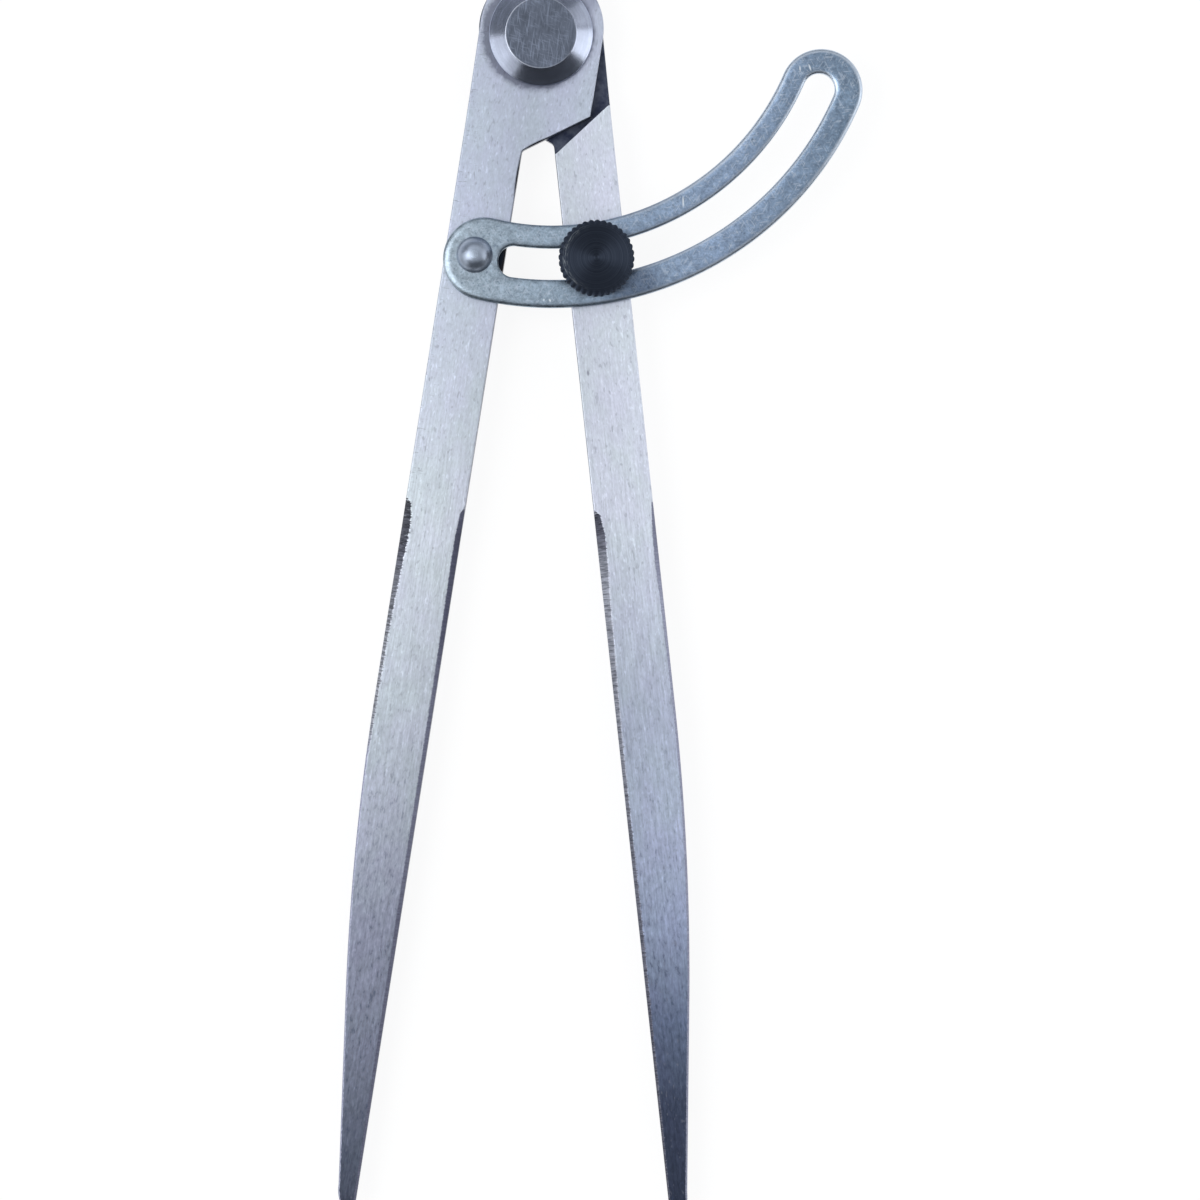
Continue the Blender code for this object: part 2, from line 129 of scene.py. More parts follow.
HATCHED_INNER = {
    "place": (0.0958, 0.0970, 0.1010, 0.1080, 0.1140, 0.1220, 0.1320, 0.1450, 0.1600, 0.1810, 0.2320),
    "width": (0.0002, 0.0011, 0.0017, 0.0016, 0.0013, 0.0012, 0.0009, 0.0007, 0.0007, 0.0007, 0.0003),
    "tone": (0.36, 0.38, 0.56, 0.90, 0.96, 0.86, 0.80, 0.74, 0.62, 0.54, 0.42),
    "ragged": 0.00003,
    "hatch": 0.8,
}
SOFT_OUTER = {
    "place": (0.0948, 0.0990, 0.1025, 0.1080, 0.1140, 0.1220, 0.1320, 0.2320),
    "width": (0.0002, 0.0005, 0.0007, 0.0008, 0.0006, 0.0005, 0.0004, 0.0003),
    "tone": (0.68, 0.68, 0.68, 0.78, 0.85, 0.86, 0.86, 0.80),
    "ragged": 0.00003,
    "hatch": 0.25,
}


def outer_edge(v):
    """Outer edge from the square part on: straight, then a long bend into a straight taper, then the nose,
    a quarter of an ellipse."""
    bend = TAPER_BEND_RADIUS * TAPER_SLOPE
    start = NOSE_START - (OUTER_EDGE - INNER_EDGE - NOSE_WIDTH) / TAPER_SLOPE - bend / 2
    past = np.maximum(v - start, 0)
    bent = np.where(past < bend, past**2 / (2 * TAPER_BEND_RADIUS), TAPER_SLOPE * (past - bend / 2))
    along = np.clip((v - NOSE_START) / (LEG_LENGTH - NOSE_START), 0, 1)
    nose = INNER_EDGE + TIP_WIDTH + (NOSE_WIDTH - TIP_WIDTH) * np.sqrt(1 - along**2)
    return np.where(v > NOSE_START, nose, OUTER_EDGE - bent)


def half_thickness(v):
    """Half of the thickness: even, then a straight thinning, then the nose, a quarter of an ellipse."""
    thinned = np.interp(v, (THINNING_START, NOSE_START), (LEG_HALF, NOSE_HALF))
    along = np.clip((v - NOSE_START) / (LEG_LENGTH - NOSE_START), 0, 1)
    return np.where(v > NOSE_START, TIP_HALF + (NOSE_HALF - TIP_HALF) * np.sqrt(1 - along**2), thinned)


def arc(centre, radius, start, end, steps):
    """Points on a circle: centre + radius (sine, cosine) of angles that run evenly from start to end."""
    turn = np.linspace(start, end, steps)
    return np.stack((centre[0] + radius * np.sin(turn), centre[1] + radius * np.cos(turn)), axis=1)


def inner_line(stop_reach):
    """Inner edge as (u, v) rows from the top of the head: its round, its side, the slant stop with its
    rounded corner, the crest fillet, and the straight edge down to the square part."""
    head = arc((0, -HEAD_RISE), HEAD_RADIUS, math.pi, 1.5 * math.pi, HEAD_STEPS)
    corner_u = CORNER_ROUND - HEAD_RADIUS
    corner_v = (stop_reach - HEAD_RADIUS * math.sin(LAP_SLOPE)) / math.cos(LAP_SLOPE)
    cut = CORNER_ROUND * math.tan((math.pi / 2 - LAP_SLOPE) / 2)
    corner = arc((corner_u, corner_v - cut), CORNER_ROUND, 1.5 * math.pi, 2 * math.pi - LAP_SLOPE, 7)
    crest_u = INNER_EDGE - CREST_FILLET
    crest_v = (stop_reach + CREST_FILLET + crest_u * math.sin(LAP_SLOPE)) / math.cos(LAP_SLOPE)
    crest = arc((crest_u, crest_v), CREST_FILLET, math.pi - LAP_SLOPE, math.pi / 2, 9)
    straight = np.array([(INNER_EDGE, crest_v + 0.003), (INNER_EDGE, SQUARE_FROM)])
    return np.concatenate((head, corner, crest, straight))


def outer_line():
    """Outer edge from the top of the head down to the square part, as (u, v) rows."""
    head = arc((0, -HEAD_RISE), HEAD_RADIUS, math.pi, 0.5 * math.pi, HEAD_STEPS)
    return np.concatenate((head, [(OUTER_EDGE, LEFT_STOP_REACH), (OUTER_EDGE, SQUARE_FROM)]))


def distance_along(line):
    """Distance of each point from the first, summed along the line."""
    return np.concatenate(([0], np.cumsum(np.linalg.norm(np.diff(line, axis=0), axis=1))))


def point_at(line, distance):
    """Points at the given distances along a line of (u, v) rows."""
    known = distance_along(line)
    return np.stack((np.interp(distance, known, line[:, 0]), np.interp(distance, known, line[:, 1])), axis=1)


def head_rungs(stop_reach):
    """Pairs of points on the inner and outer edges, from the top of the head to the square part, and the
    height of the lap side at each. Rungs lie level round the head, turn until they lie along the slant
    shoulder, which they climb by a fillet, a wall and a rounded brow, and turn back to square."""
    inner, outer = inner_line(stop_reach), outer_line()
    inner_s, outer_s = distance_along(inner), distance_along(outer)
    slant = np.array((math.sin(LAP_SLOPE), math.cos(LAP_SLOPE)))
    low, high = LAP_FLOOR, LEG_HALF
    ease, brow, clear = FILLET_ROUND, BROW_ROUND, 0.0002
    half_turn = 1 - math.sqrt(0.5)
    climb = np.array(
        [
            (-2 * ease, low),
            (-ease, low),
            (-ease * half_turn, low + ease * half_turn),
            (0, low + ease),
            (0, high - brow),
            (brow * half_turn, high - brow * half_turn),
            (brow, high),
            (2 * brow, high),
        ]
    )
    levels = SHOULDER_REACH + climb[:, 0]
    below = inner[:, 1] > STOP_FROM
    climb_inner = np.interp(levels, inner[below] @ slant, inner_s[below])
    below = outer[:, 1] > -HEAD_RISE - 1e-6
    climb_outer = np.interp(levels, outer[below] @ slant, outer_s[below])
    keys_inner = np.concatenate(([0, inner_s[HEAD_STEPS - 1]], climb_inner, [inner_s[-1]]))
    keys_outer = np.concatenate(([0, outer_s[HEAD_STEPS - 1]], climb_outer, [outer_s[-1]]))
    apart = (inner_s < climb_inner[0] - clear) | (inner_s > climb_inner[-1] + clear)
    distance = np.concatenate((inner_s[apart], climb_inner))
    height = np.concatenate((np.where(inner_s[apart] < climb_inner[0], low, high), climb[:, 1]))
    order = np.argsort(distance + 1e-9 * np.arange(len(distance)), kind="stable")
    distance, height = distance[order], height[order]
    return point_at(inner, distance), point_at(outer, np.interp(distance, keys_inner, keys_outer)), height


def inward(edge, keep_first):
    """Unit normals of an edge that point into the bar, from the run of each point's neighbours. The edge
    starts at the top of the head, where the normal points straight down the leg."""
    run = np.gradient(edge, axis=0)
    still = np.linalg.norm(run, axis=1) < 1e-9
    run[still] = np.roll(run, 1, axis=0)[still]
    normal = np.stack((run[:, 1], -run[:, 0]), axis=1) * keep_first
    normal /= np.linalg.norm(normal, axis=1)[:, None]
    normal[0] = (0, 1)
    return normal


def soft_chamfer(width, softness, on):
    """A 45-degree chamfer with both its borders rounded off, as eight points: how far each lies in from the
    side and down from the face. A holding point stands before and after, so that the flats shade flat; where
    the edge is ground, on is 1 and the holding points stand further off, at the end of the ragged border."""
    near = np.radians((0, 22.5, 45))
    far = np.radians((45, 67.5, 90))
    width, softness, on = width[:, None], softness[:, None], on[:, None]
    start = width + softness * math.tan(math.pi / 8)
    hold = np.minimum(EDGE_HOLD + (BORDER_HOLD - EDGE_HOLD) * on, 0.5 * width)
    from_side = (0 * start, softness * (1 - np.cos(near)), start - softness * np.cos(far), start + hold)
    from_face = (start + hold, start - softness * np.sin(near), softness * (1 - np.sin(far)), 0 * start)
    return np.concatenate(from_side, axis=1), np.concatenate(from_face, axis=1)


def hand_wobble(v, draw):
    """Sum of six sines along the leg with drawn lengths and starts: the unsteadiness of grinding by hand."""
    pitch = draw.uniform(0.0006, 0.0030, 6)[:, None]
    start = draw.uniform(0, math.tau, 6)[:, None]
    return np.sin(math.tau * v / pitch + start).sum(axis=0) / 2.5


def leg_points(stop_reach, seed):
    """Rings of the blank as (ring, point, 3), and for each point how much of it is ground edge, how dark the
    grinding is, how much of it is the bar's side and how deep its hatching is. A ring is the section between
    two matched points of the inner and outer edges: four chamfers joined by flats, each point set in from its
    edge along the normal."""
    draw = np.random.default_rng(seed)
    inner_head, outer_head, height_head = head_rungs(stop_reach)
    straight = np.arange(STRAIGHT_START, GROUND_START, STRAIGHT_STEP)
    ground = np.arange(GROUND_START, GROUND_END, GROUND_STEP)
    nose = NOSE_START + (LEG_LENGTH - NOSE_START) * np.sin(np.linspace(0, math.pi / 2, 14))
    v = np.concatenate((straight, ground, nose))
    inner = np.concatenate((inner_head, np.stack((np.full_like(v, INNER_EDGE), v), axis=1)))
    outer = np.concatenate((outer_head, np.stack((outer_edge(v), v), axis=1)))
    lap_side = np.concatenate((height_head, half_thickness(v)))
    plain_side = -np.concatenate((np.full(len(height_head), LEG_HALF), half_thickness(v)))
    down = inner[:, 1]
    limit = np.minimum(0.35 * np.linalg.norm(outer - inner, axis=1), 0.6 * -plain_side)
    limit[down < NARROW_FROM] = 1
    softness = np.minimum(EDGE_SOFTNESS, 0.5 * limit)
    into_inner, into_outer = inward(inner, 1), inward(outer, -1)
    parts, marks = [], []
    corners = (
        (HATCHED_INNER, inner, into_inner, lap_side, -1, 1),
        (SOFT_OUTER, outer, into_outer, lap_side, -1, -1),
        (BURNT_OUTER, outer, into_outer, plain_side, 1, 1),
        (SMOOTH_INNER, inner, into_inner, plain_side, 1, -1),
    )
    for grinding, edge, into, face, off_face, order in corners:
        width = np.interp(down, grinding["place"], grinding["width"])
        on = np.clip((down - grinding["place"][0]) / GRINDING_RUN_IN, 0, 1)
        width = width + on * grinding["ragged"] * hand_wobble(down, draw)
        width = np.minimum(np.maximum(width, EDGE_BREAK * 0.8), limit)
        from_side, from_face = soft_chamfer(width, softness, on)
        place = edge[:, None, :] + into[:, None, :] * from_side[:, :, None]
        height = face[:, None] + off_face * from_face
        corner = np.stack((place[..., 0], -place[..., 1], height), axis=2)
        mask = on[:, None] * np.array((0, 0.4, 0.8, 1, 1, 0.9, 0.6, 0))
        tone = np.repeat(np.interp(down, grinding["place"], grinding["tone"])[:, None], 8, axis=1)
        side = np.repeat(np.array([(1, 1, 0.6, 0, 0, 0, 0, 0)]), len(down), axis=0)
        depth = np.broadcast_to(grinding["hatch"], len(grinding["place"]))
        hatch = np.repeat(np.interp(down, grinding["place"], depth)[:, None], 8, axis=1)
        parts.append(corner[:, ::order])
        marks.append(np.stack((mask, tone, side, hatch), axis=2)[:, ::order])
    rings, marks = np.concatenate(parts, axis=1), np.concatenate(marks, axis=1)
    # The point's flat end: the last ring is drawn in and the one before it brought close, for a crisp border
    end = rings[-1].mean(axis=0)
    rings[-2, :, 1] = rings[-1, :, 1] + 0.00008
    rings[-1] = end + (rings[-1] - end) * 0.75
    lap_rings = np.count_nonzero(lap_side[: len(height_head)] < LEG_HALF - 1e-9)
    return rings, marks, lap_rings


def new_piece(name, rings, closed_rows=False, cap_last=False, marks=None, lap_faces=None):
    """Object of quads between each ring and the next, each ring closed on itself. The row of rings closes
    too, or its last ring can be capped with a face. Then its seams and poles are sealed."""
    rows, columns = rings.shape[:2]
    number = np.arange(rows * columns).reshape(rows, columns)
    near = number if closed_rows else number[:-1]
    far = np.roll(number, -1, axis=0) if closed_rows else number[1:]
    quads = np.stack((near, np.roll(near, -1, axis=1), np.roll(far, -1, axis=1), far), axis=-1).reshape(-1, 4)
    caps = [number[-1].tolist()] if cap_last else []
    mesh = bpy.data.meshes.new(name)
    mesh.from_pydata(rings.reshape(-1, 3).tolist(), [], quads.tolist() + caps)
    if marks is not None:
        finish = mesh.attributes.new("finish", "FLOAT_COLOR", "POINT")
        finish.data.foreach_set("color", marks.astype(np.float32).ravel())
        lap = mesh.attributes.new("lap", "FLOAT", "FACE")
        lap.data.foreach_set("value", np.append(lap_faces, np.zeros(len(caps))).astype(np.float32))
    seal(mesh)
    piece = bpy.data.objects.new(name, mesh)
    bpy.context.scene.collection.objects.link(piece)
    return piece


def seal(mesh):
    """Merge the points that coincide, face everything outwards and shade smooth between sharp edges."""
    bm = bmesh.new()
    bm.from_mesh(mesh)
    bmesh.ops.remove_doubles(bm, verts=bm.verts, dist=0.000002)
    bmesh.ops.dissolve_degenerate(bm, edges=bm.edges, dist=0.0000005)
    bmesh.ops.recalc_face_normals(bm, faces=bm.faces)
    bm.to_mesh(mesh)
    bm.free()
    mesh.shade_smooth()
    mesh.set_sharp_from_angle(angle=math.radians(40))


def turned(name, profile, centre=(0, 0), steps=120):
    """Object of a closed profile of (radius, height) rows turned about an upright axis through the centre."""
    turn = np.linspace(0, math.tau, steps, endpoint=False)
    radius, height = profile[:, :1], np.repeat(profile[:, 1:], steps, axis=1)
    rings = np.stack((centre[0] + radius * np.cos(turn), centre[1] + radius * np.sin(turn), height), axis=2)
    return new_piece(name, rings)


def drill(piece, profile, centre):
    """Cut a turned hole through a piece and keep the result as its mesh, with no ground marks at the hole."""
    rim = max(radius for radius, _ in profile) + 0.0003
    cutter = turned("drill", np.array(profile), centre, 72)
    hole = piece.modifiers.new("hole", "BOOLEAN")
    hole.solver = "EXACT"
    hole.object = cutter
    bpy.context.view_layer.update()
    drilled = bpy.data.meshes.new_from_object(piece.evaluated_get(bpy.context.evaluated_depsgraph_get()))
    piece.modifiers.clear()
    piece.data = drilled
    bpy.data.objects.remove(cutter)
    drilled.set_sharp_from_angle(angle=math.radians(40))
    if "finish" in drilled.attributes:
        points = np.empty(len(drilled.vertices) * 3)
        drilled.vertices.foreach_get("co", points)
        apart = np.linalg.norm(points.reshape(-1, 3)[:, :2] - centre, axis=1)
        marks = np.empty(len(drilled.vertices) * 4)
        drilled.attributes["finish"].data.foreach_get("color", marks)
        marks = marks.reshape(-1, 4)
        marks[apart < rim] = 0
        drilled.attributes["finish"].data.foreach_set("color", marks.ravel())


def turned_out(x, y, side):
    """Turn points out about the pivot; side is -1 for the left leg and 1 for the right."""
    turn = side * LEG_TURN
    return x * math.cos(turn) - y * math.sin(turn), x * math.sin(turn) + y * math.cos(turn)


def in_leg(across, down, side):
    """World place of a point of a leg, across and down it."""
    return turned_out(side * across, -down, side)


def build_leg(name, side, stop_reach, seed):
    """A leg in its place: the blank, turned over for the left leg, turned out about the pivot and lifted. The
    faces between the middles of the lap side's two chamfers are marked as lap."""
    rings, marks, lap_rings = leg_points(stop_reach, seed)
    x, y = turned_out(rings[..., 0] * side, rings[..., 1], side)
    placed = np.stack((x, y, rings[..., 2] * side + LEG_MIDDLE), axis=2)
    lap_faces = np.zeros((rings.shape[0] - 1, rings.shape[1]))
    lap_faces[:lap_rings, 3:13] = 1
    return new_piece(name, placed, cap_last=True, marks=marks, lap_faces=lap_faces.ravel())


HOLE_BOTTOM = 0.0020
HOLE_TOP = 0.0100


def plain_hole(radius, bottom=HOLE_BOTTOM, top=HOLE_TOP):
    """Profile of a plain hole, which runs right through a leg unless told otherwise."""
    return ((0, top), (radius, top), (radius, bottom), (0, bottom))


left_leg = build_leg("left_leg_steel", -1, LEFT_STOP_REACH, 11)
right_leg = build_leg("right_leg_steel", 1, RIGHT_STOP_REACH, 23)

LEG_CENTRE_LINE = 0.00615
RIVET_DOWN = 0.0458
SCREW_DOWN = 0.0462
RIVET_PLACE = in_leg(LEG_CENTRE_LINE, RIVET_DOWN, -1)
SCREW_PLACE = in_leg(LEG_CENTRE_LINE, SCREW_DOWN, 1)
PIVOT_HOLE_RADIUS = 0.0043
TAPPED_HOLE_RADIUS = 0.0028
RIVET_HOLE_RADIUS = 0.0019
RIVET_HOLE = (
    (0, HOLE_TOP),
    (RIVET_HOLE_RADIUS, HOLE_TOP),
    (RIVET_HOLE_RADIUS, 0.0043),
    (0.0029, 0.0031),
    (0.00315, 0.0028),
    (0, 0.0028),
)
for leg in (left_leg, right_leg):
    drill(leg, plain_hole(PIVOT_HOLE_RADIUS), (0, 0))
drill(left_leg, RIVET_HOLE, RIVET_PLACE)
drill(right_leg, plain_hole(TAPPED_HOLE_RADIUS), SCREW_PLACE)


def new_finish(name, roughness):
    """A metal's material: its node tree, its shader, and the object's own coordinates."""
    material = bpy.data.materials.new(name)
    material.use_nodes = True
    tree = material.node_tree
    shader = tree.nodes["Principled BSDF"]
    shader.inputs["Metallic"].default_value = 1.0
    shader.inputs["Roughness"].default_value = roughness
    return material, tree, shader, tree.nodes.new("ShaderNodeTexCoord").outputs["Object"]


def add(tree, kind, inputs, **settings):
    """Add a shader node with its settings; each input gets a value, or the output that feeds it."""
    node = tree.nodes.new("ShaderNode" + kind)
    for name, value in settings.items():
        setattr(node, name, value)
    for name, value in inputs.items():
        if isinstance(value, bpy.types.NodeSocket):
            tree.links.new(value, node.inputs[name])
        else:
            node.inputs[name].default_value = value
    return node.outputs


def grain(tree, place, across, along, detail=3.0):
    """Noise with so many spots a metre across and along, 0 to 1 about one half."""
    stretched = add(tree, "Mapping", {"Vector": place, "Scale": (across, along, across)})[0]
    return add(tree, "TexNoise", {"Vector": stretched, "Scale": 1.0, "Detail": detail, "Roughness": 0.6})[0]


def spread(tree, value, low, high, to_low=0.0, to_high=1.0):
    """Move a value from one range to another, held at both ends."""
    inputs = {"Value": value, "From Min": low, "From Max": high, "To Min": to_low, "To Max": to_high}
    return add(tree, "MapRange", inputs)[0]


def varied(tree, noise, low, high):
    """Turn a grain into a value that wanders between the low and the high."""
    return spread(tree, noise, 0.30, 0.70, low, high)


def combined(tree, first, second, operation="ADD"):
    """One number made of two, by adding them or by the operation named."""
    return add(tree, "Math", {0: first, 1: second}, operation=operation)[0]


def mixed(tree, share, first, second, way="MIX"):
    """Colour that goes from the first to the second by the share, or is blended with it in the way named."""
    return add(tree, "Mix", {0: share, 6: first, 7: second}, data_type="RGBA", blend_type=way)[2]


def shaded(tree, colour, factor):
    """Colour multiplied by a number or by another colour."""
    return mixed(tree, 1.0, colour, factor, "MULTIPLY")


def graded(tree, value, stops):
    """Colour that passes through the stops, each a value from 0 to 1 and a colour."""
    node = tree.nodes.new("ShaderNodeValToRGB")
    tree.links.new(value, node.inputs[0])
    elements = node.color_ramp.elements
    while len(elements) < len(stops):
        elements.new(0.5)
    for element, (place, colour) in zip(elements, stops):
        element.position = place
        element.color = (*colour, 1)
    return node.outputs[0]


def turned_by(tree, place, angle):
    """Coordinates turned about the upright axis."""
    return add(tree, "Mapping", {"Vector": place, "Rotation": (0, 0, angle)})[0]


def from_axis(tree, place, centre):
    """Coordinates from an upright axis through the centre, their three parts, and the distance from it."""
    moved = add(tree, "Mapping", {"Vector": place, "Location": (-centre[0], -centre[1], 0)})[0]
    x, y, z = add(tree, "SeparateXYZ", {0: moved})[:3]
    flat = add(tree, "CombineXYZ", {0: x, 1: y})[0]
    return moved, (x, y, z), add(tree, "VectorMath", {0: flat}, operation="LENGTH")["Value"]


def mark(tree, place, centre, across, along, turn):
    """1 within an oval mark round a point of the piece, fading to 0 at its border."""
    offset = add(tree, "VectorMath", {0: place, 1: centre}, operation="SUBTRACT")[0]
    turned_back = turned_by(tree, offset, -turn)
    scaled = add(tree, "Mapping", {"Vector": turned_back, "Scale": (1 / across, 1 / along, 1 / along)})[0]
    apart = add(tree, "VectorMath", {0: scaled}, operation="LENGTH")["Value"]
    return spread(tree, apart, 0.45, 1.0, 1.0, 0.0)


def ground_steel(name, lean, tones, stains_and_shade):
    """Bright ground steel: lengthwise brush lines, flecks and cloudy patches over a tone that darkens towards
    the point, partly hardened and partly painted shade. Ground-off edges are dark and cross-hatched, the sides
    painted dark as shade, and the lap sawn, stained and painted dark as the shade it lies in."""
    material, tree, shader, coordinates = new_finish(name, 0.36)
    place = turned_by(tree, coordinates, lean)
    across, down = add(tree, "SeparateXYZ", {0: place})[:2]
    tone = graded(tree, spread(tree, down, 0.0, -0.24), tones)

    lines = grain(tree, place, 3600, 1100, 4.0)
    strokes = grain(tree, place, 1500, 800, 3.0)
    clouds = grain(tree, place, 160, 90, 4.0)
    tint = mixed(tree, spread(tree, clouds, 0.35, 0.65), (1.00, 0.985, 1.03, 1), (0.98, 1.005, 0.99, 1))
    steel = shaded(tree, tone, tint)
    steel = shaded(tree, steel, varied(tree, lines, 0.90, 1.09))
    steel = shaded(tree, steel, varied(tree, strokes, 0.95, 1.05))
    brushed = shaded(tree, steel, varied(tree, grain(tree, place, 3000, 150, 3.0), 0.85, 1.13))
    steel = mixed(tree, spread(tree, down, -0.020, -0.110), steel, brushed)
    from_middle = combined(tree, across, 0, "ABSOLUTE")
    steel = shaded(tree, steel, spread(tree, from_middle, 0.0005, 0.0100, 0.93, 1.05))

    # Towards the point the steel is blotched and pitted, and small flecks lie all over
    near_point = spread(tree, down, -0.110, -0.200)
    worn = grain(tree, place, 1500, 560, 4.0)
    blotched = shaded(tree, steel, varied(tree, worn, 0.78, 1.25))
    steel = mixed(tree, near_point, steel, blotched)
    pits = combined(tree, spread(tree, worn, 0.40, 0.34, 0.0, 0.45), near_point, "MULTIPLY")
    steel = mixed(tree, pits, steel, (0.060, 0.080, 0.140, 1))
    spots = grain(tree, place, 1700, 650, 1.0)
    steel = shaded(tree, steel, spread(tree, spots, 0.36, 0.27, 1.0, 1.18))
    steel = mixed(tree, spread(tree, spots, 0.65, 0.73, 0.0, 0.34), steel, (0.20, 0.21, 0.26, 1))
    # Marks: stains, and on the left leg also painted shade at the slot's near end and along the crest
    for centre, wide, long, turn, colour, depth in stains_and_shade:
        stain_and_shade = mark(tree, coordinates, (*centre, LEG_FRONT), wide, long, turn - lean)
        steel = mixed(tree, combined(tree, stain_and_shade, depth, "MULTIPLY"), steel, (*colour, 1))

    # A painted shadow of the cone head in a ring round it on the leg, which reaches further out on its left
    # side
    _, (x, _, _), from_pivot = from_axis(tree, coordinates, (0, 0))
    ring_edge = combined(tree, from_pivot, spread(tree, x, -0.0095, 0.0095, -0.0009, 0.0003))
    ring_edge = combined(tree, ring_edge, varied(tree, grain(tree, coordinates, 800, 800), -0.0003, 0.0003))
    cone_shadow = combined(tree, spread(tree, ring_edge, 0.0120, 0.0105), 2.0, "POWER")
    steel = mixed(tree, cone_shadow, steel, shaded(tree, steel, (0.40, 0.40, 0.43, 1)))

    # The ground-off edges, whose border frays into hairs, and the bar's sides, painted dark as shade
    finish = add(tree, "Attribute", {}, attribute_name="finish")
    ground, burnt, shaded_side = add(tree, "SeparateColor", {0: finish["Color"]})[:3]
    scorched = graded(tree, burnt, SCORCHED_TONES)
    hatch = grain(tree, place, 420, 3100, 2.0)
    filed = shaded(tree, scorched, spread(tree, hatch, 0.35, 0.68, 0.48, 1.75))
    filed = shaded(tree, filed, (1.04, 1.04, 0.86, 1))
    scorched = mixed(tree, finish["Alpha"], scorched, filed)
    hairs = varied(tree, grain(tree, place, 600, 4000, 2.0), -0.5, 0.5)
    edge = combined(tree, ground, combined(tree, hairs, finish["Alpha"], "MULTIPLY"))
    colour = mixed(tree, spread(tree, edge, 0.35, 0.65), steel, scorched)
    # Painted shade on the bar's sides
    colour = mixed(tree, spread(tree, shaded_side, 0.2, 0.9, 0.0, 0.75), colour, (0.10, 0.10, 0.12, 1))

    # The lap: sawn and stained, and painted darker still as the shade it lies in
    lap = add(tree, "Attribute", {}, attribute_name="lap")["Fac"]
    rust = spread(tree, grain(tree, place, 420, 420, 4.0), 0.35, 0.65)
    sawn_and_shaded = mixed(tree, rust, (0.032, 0.040, 0.072, 1), (0.098, 0.112, 0.152, 1))
    colour = mixed(tree, lap, colour, sawn_and_shaded)
    tree.links.new(colour, shader.inputs["Base Color"])

    dull = combined(tree, spread(tree, edge, 0.35, 0.65, 0.0, 0.10), varied(tree, lines, 0.32, 0.42))
    dull = combined(tree, dull, combined(tree, lap, 0.12, "MULTIPLY"))
    tree.links.new(dull, shader.inputs["Roughness"])
    relief = combined(tree, lines, strokes)
    bump = add(tree, "Bump", {"Strength": 0.35, "Distance": 0.00002, "Height": relief})[0]
    tree.links.new(bump, shader.inputs["Normal"])
    return material


# Tones down each leg, darker towards the point: partly hardened steel, partly painted shade
LEFT_TONES = (
    (0.00, (0.47, 0.51, 0.60)),
    (0.15, (0.51, 0.555, 0.65)),
    (0.42, (0.62, 0.665, 0.72)),
    (0.60, (0.47, 0.51, 0.57)),
    (0.75, (0.27, 0.29, 0.365)),
    (0.86, (0.19, 0.21, 0.27)),
    (0.95, (0.095, 0.110, 0.150)),
    (1.00, (0.070, 0.080, 0.110)),
)
RIGHT_TONES = (
    (0.00, (0.62, 0.655, 0.73)),
    (0.40, (0.66, 0.70, 0.775)),
    (0.57, (0.44, 0.485, 0.585)),
    (0.66, (0.42, 0.47, 0.59)),
    (0.75, (0.31, 0.36, 0.49)),
    (0.83, (0.135, 0.167, 0.255)),
    (0.90, (0.056, 0.070, 0.112)),
    (1.00, (0.036, 0.044, 0.072)),
)
SCORCHED_TONES = (
    (0.0, (0.026, 0.028, 0.034)),
    (0.5, (0.115, 0.120, 0.185)),
    (1.0, (0.39, 0.41, 0.55)),
)

# Single marks, each with its place, half sizes, turn, colour and depth. On the left leg: a nick, a dull patch
# beside the cone, a dark patch in the slot's near end that is partly a stain and partly painted shade under
# the wing, and painted shade lines along the crest for its shaded side wall. On the right: a speck and a faint
# patch.
LEFT_STAINS_AND_SHADE = (
    ((-0.02617, -0.18150), 0.0004, 0.0006, 0, (0.02, 0.02, 0.03), 1.0),
    ((0.00950, 0.00800), 0.0030, 0.0045, 0, (0.20, 0.22, 0.30), 0.5),
    # Dark patch at the slot's near end: partly a stain, partly painted shade under the wing
    ((-0.00601, -0.04477), 0.0046, 0.0060, 0, (0.060, 0.046, 0.040), 1.0),
    ((-0.00811, -0.04477), 0.0032, 0.0070, 0, (0.010, 0.014, 0.022), 1.0),
    # Painted shade lines along the crest, for the leg's shaded side wall
    ((-0.00038, -0.02198), 0.0036, 0.0005, LAP_SLOPE, (0.02, 0.02, 0.03), 1.0),
    ((-0.00394, -0.02853), 0.0005, 0.0053, 0, (0.02, 0.02, 0.03), 1.0),
)
RIGHT_STAINS = (
    ((0.01105, -0.06755), 0.0003, 0.0007, 0, (0.20, 0.20, 0.26), 0.7),
    ((0.02010, -0.18400), 0.0012, 0.0040, 0, (0.12, 0.14, 0.20), 0.4),
)
left_leg.data.materials.append(ground_steel("ground_steel_left", LEG_TURN, LEFT_TONES, LEFT_STAINS_AND_SHADE))
right_leg.data.materials.append(ground_steel("ground_steel_right", -LEG_TURN, RIGHT_TONES, RIGHT_STAINS))
for leg, body in ((left_leg, "left_leg"), (right_leg, "right_leg")):
    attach(leg, body)
    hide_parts(body)

# Pivot rivet and cone washer
# A turned rivet with a cone head and a flat faced off across the top, its shank through both laps and a cone
# washer at the rear, where its tail is spread and ground flush.
CONE_BASE = 0.0094
CONE_HEIGHT = 0.0028
CONE_RADIUS = 0.0104
CONE_FLAT = 0.00706
CONE_RIM = 0.0005
PIVOT_SHANK = 0.0040
PIVOT_TAIL = 0.0052
WASHER_SINK = 0.0055
SINK_DEPTH = 0.0014
WASHER_SEAM = 0.0020
CORNER_EASE = 0.00012
FACE_TONE = (0.116, 0.135, 0.176)
CONE_TONE = (0.50, 0.55, 0.68)


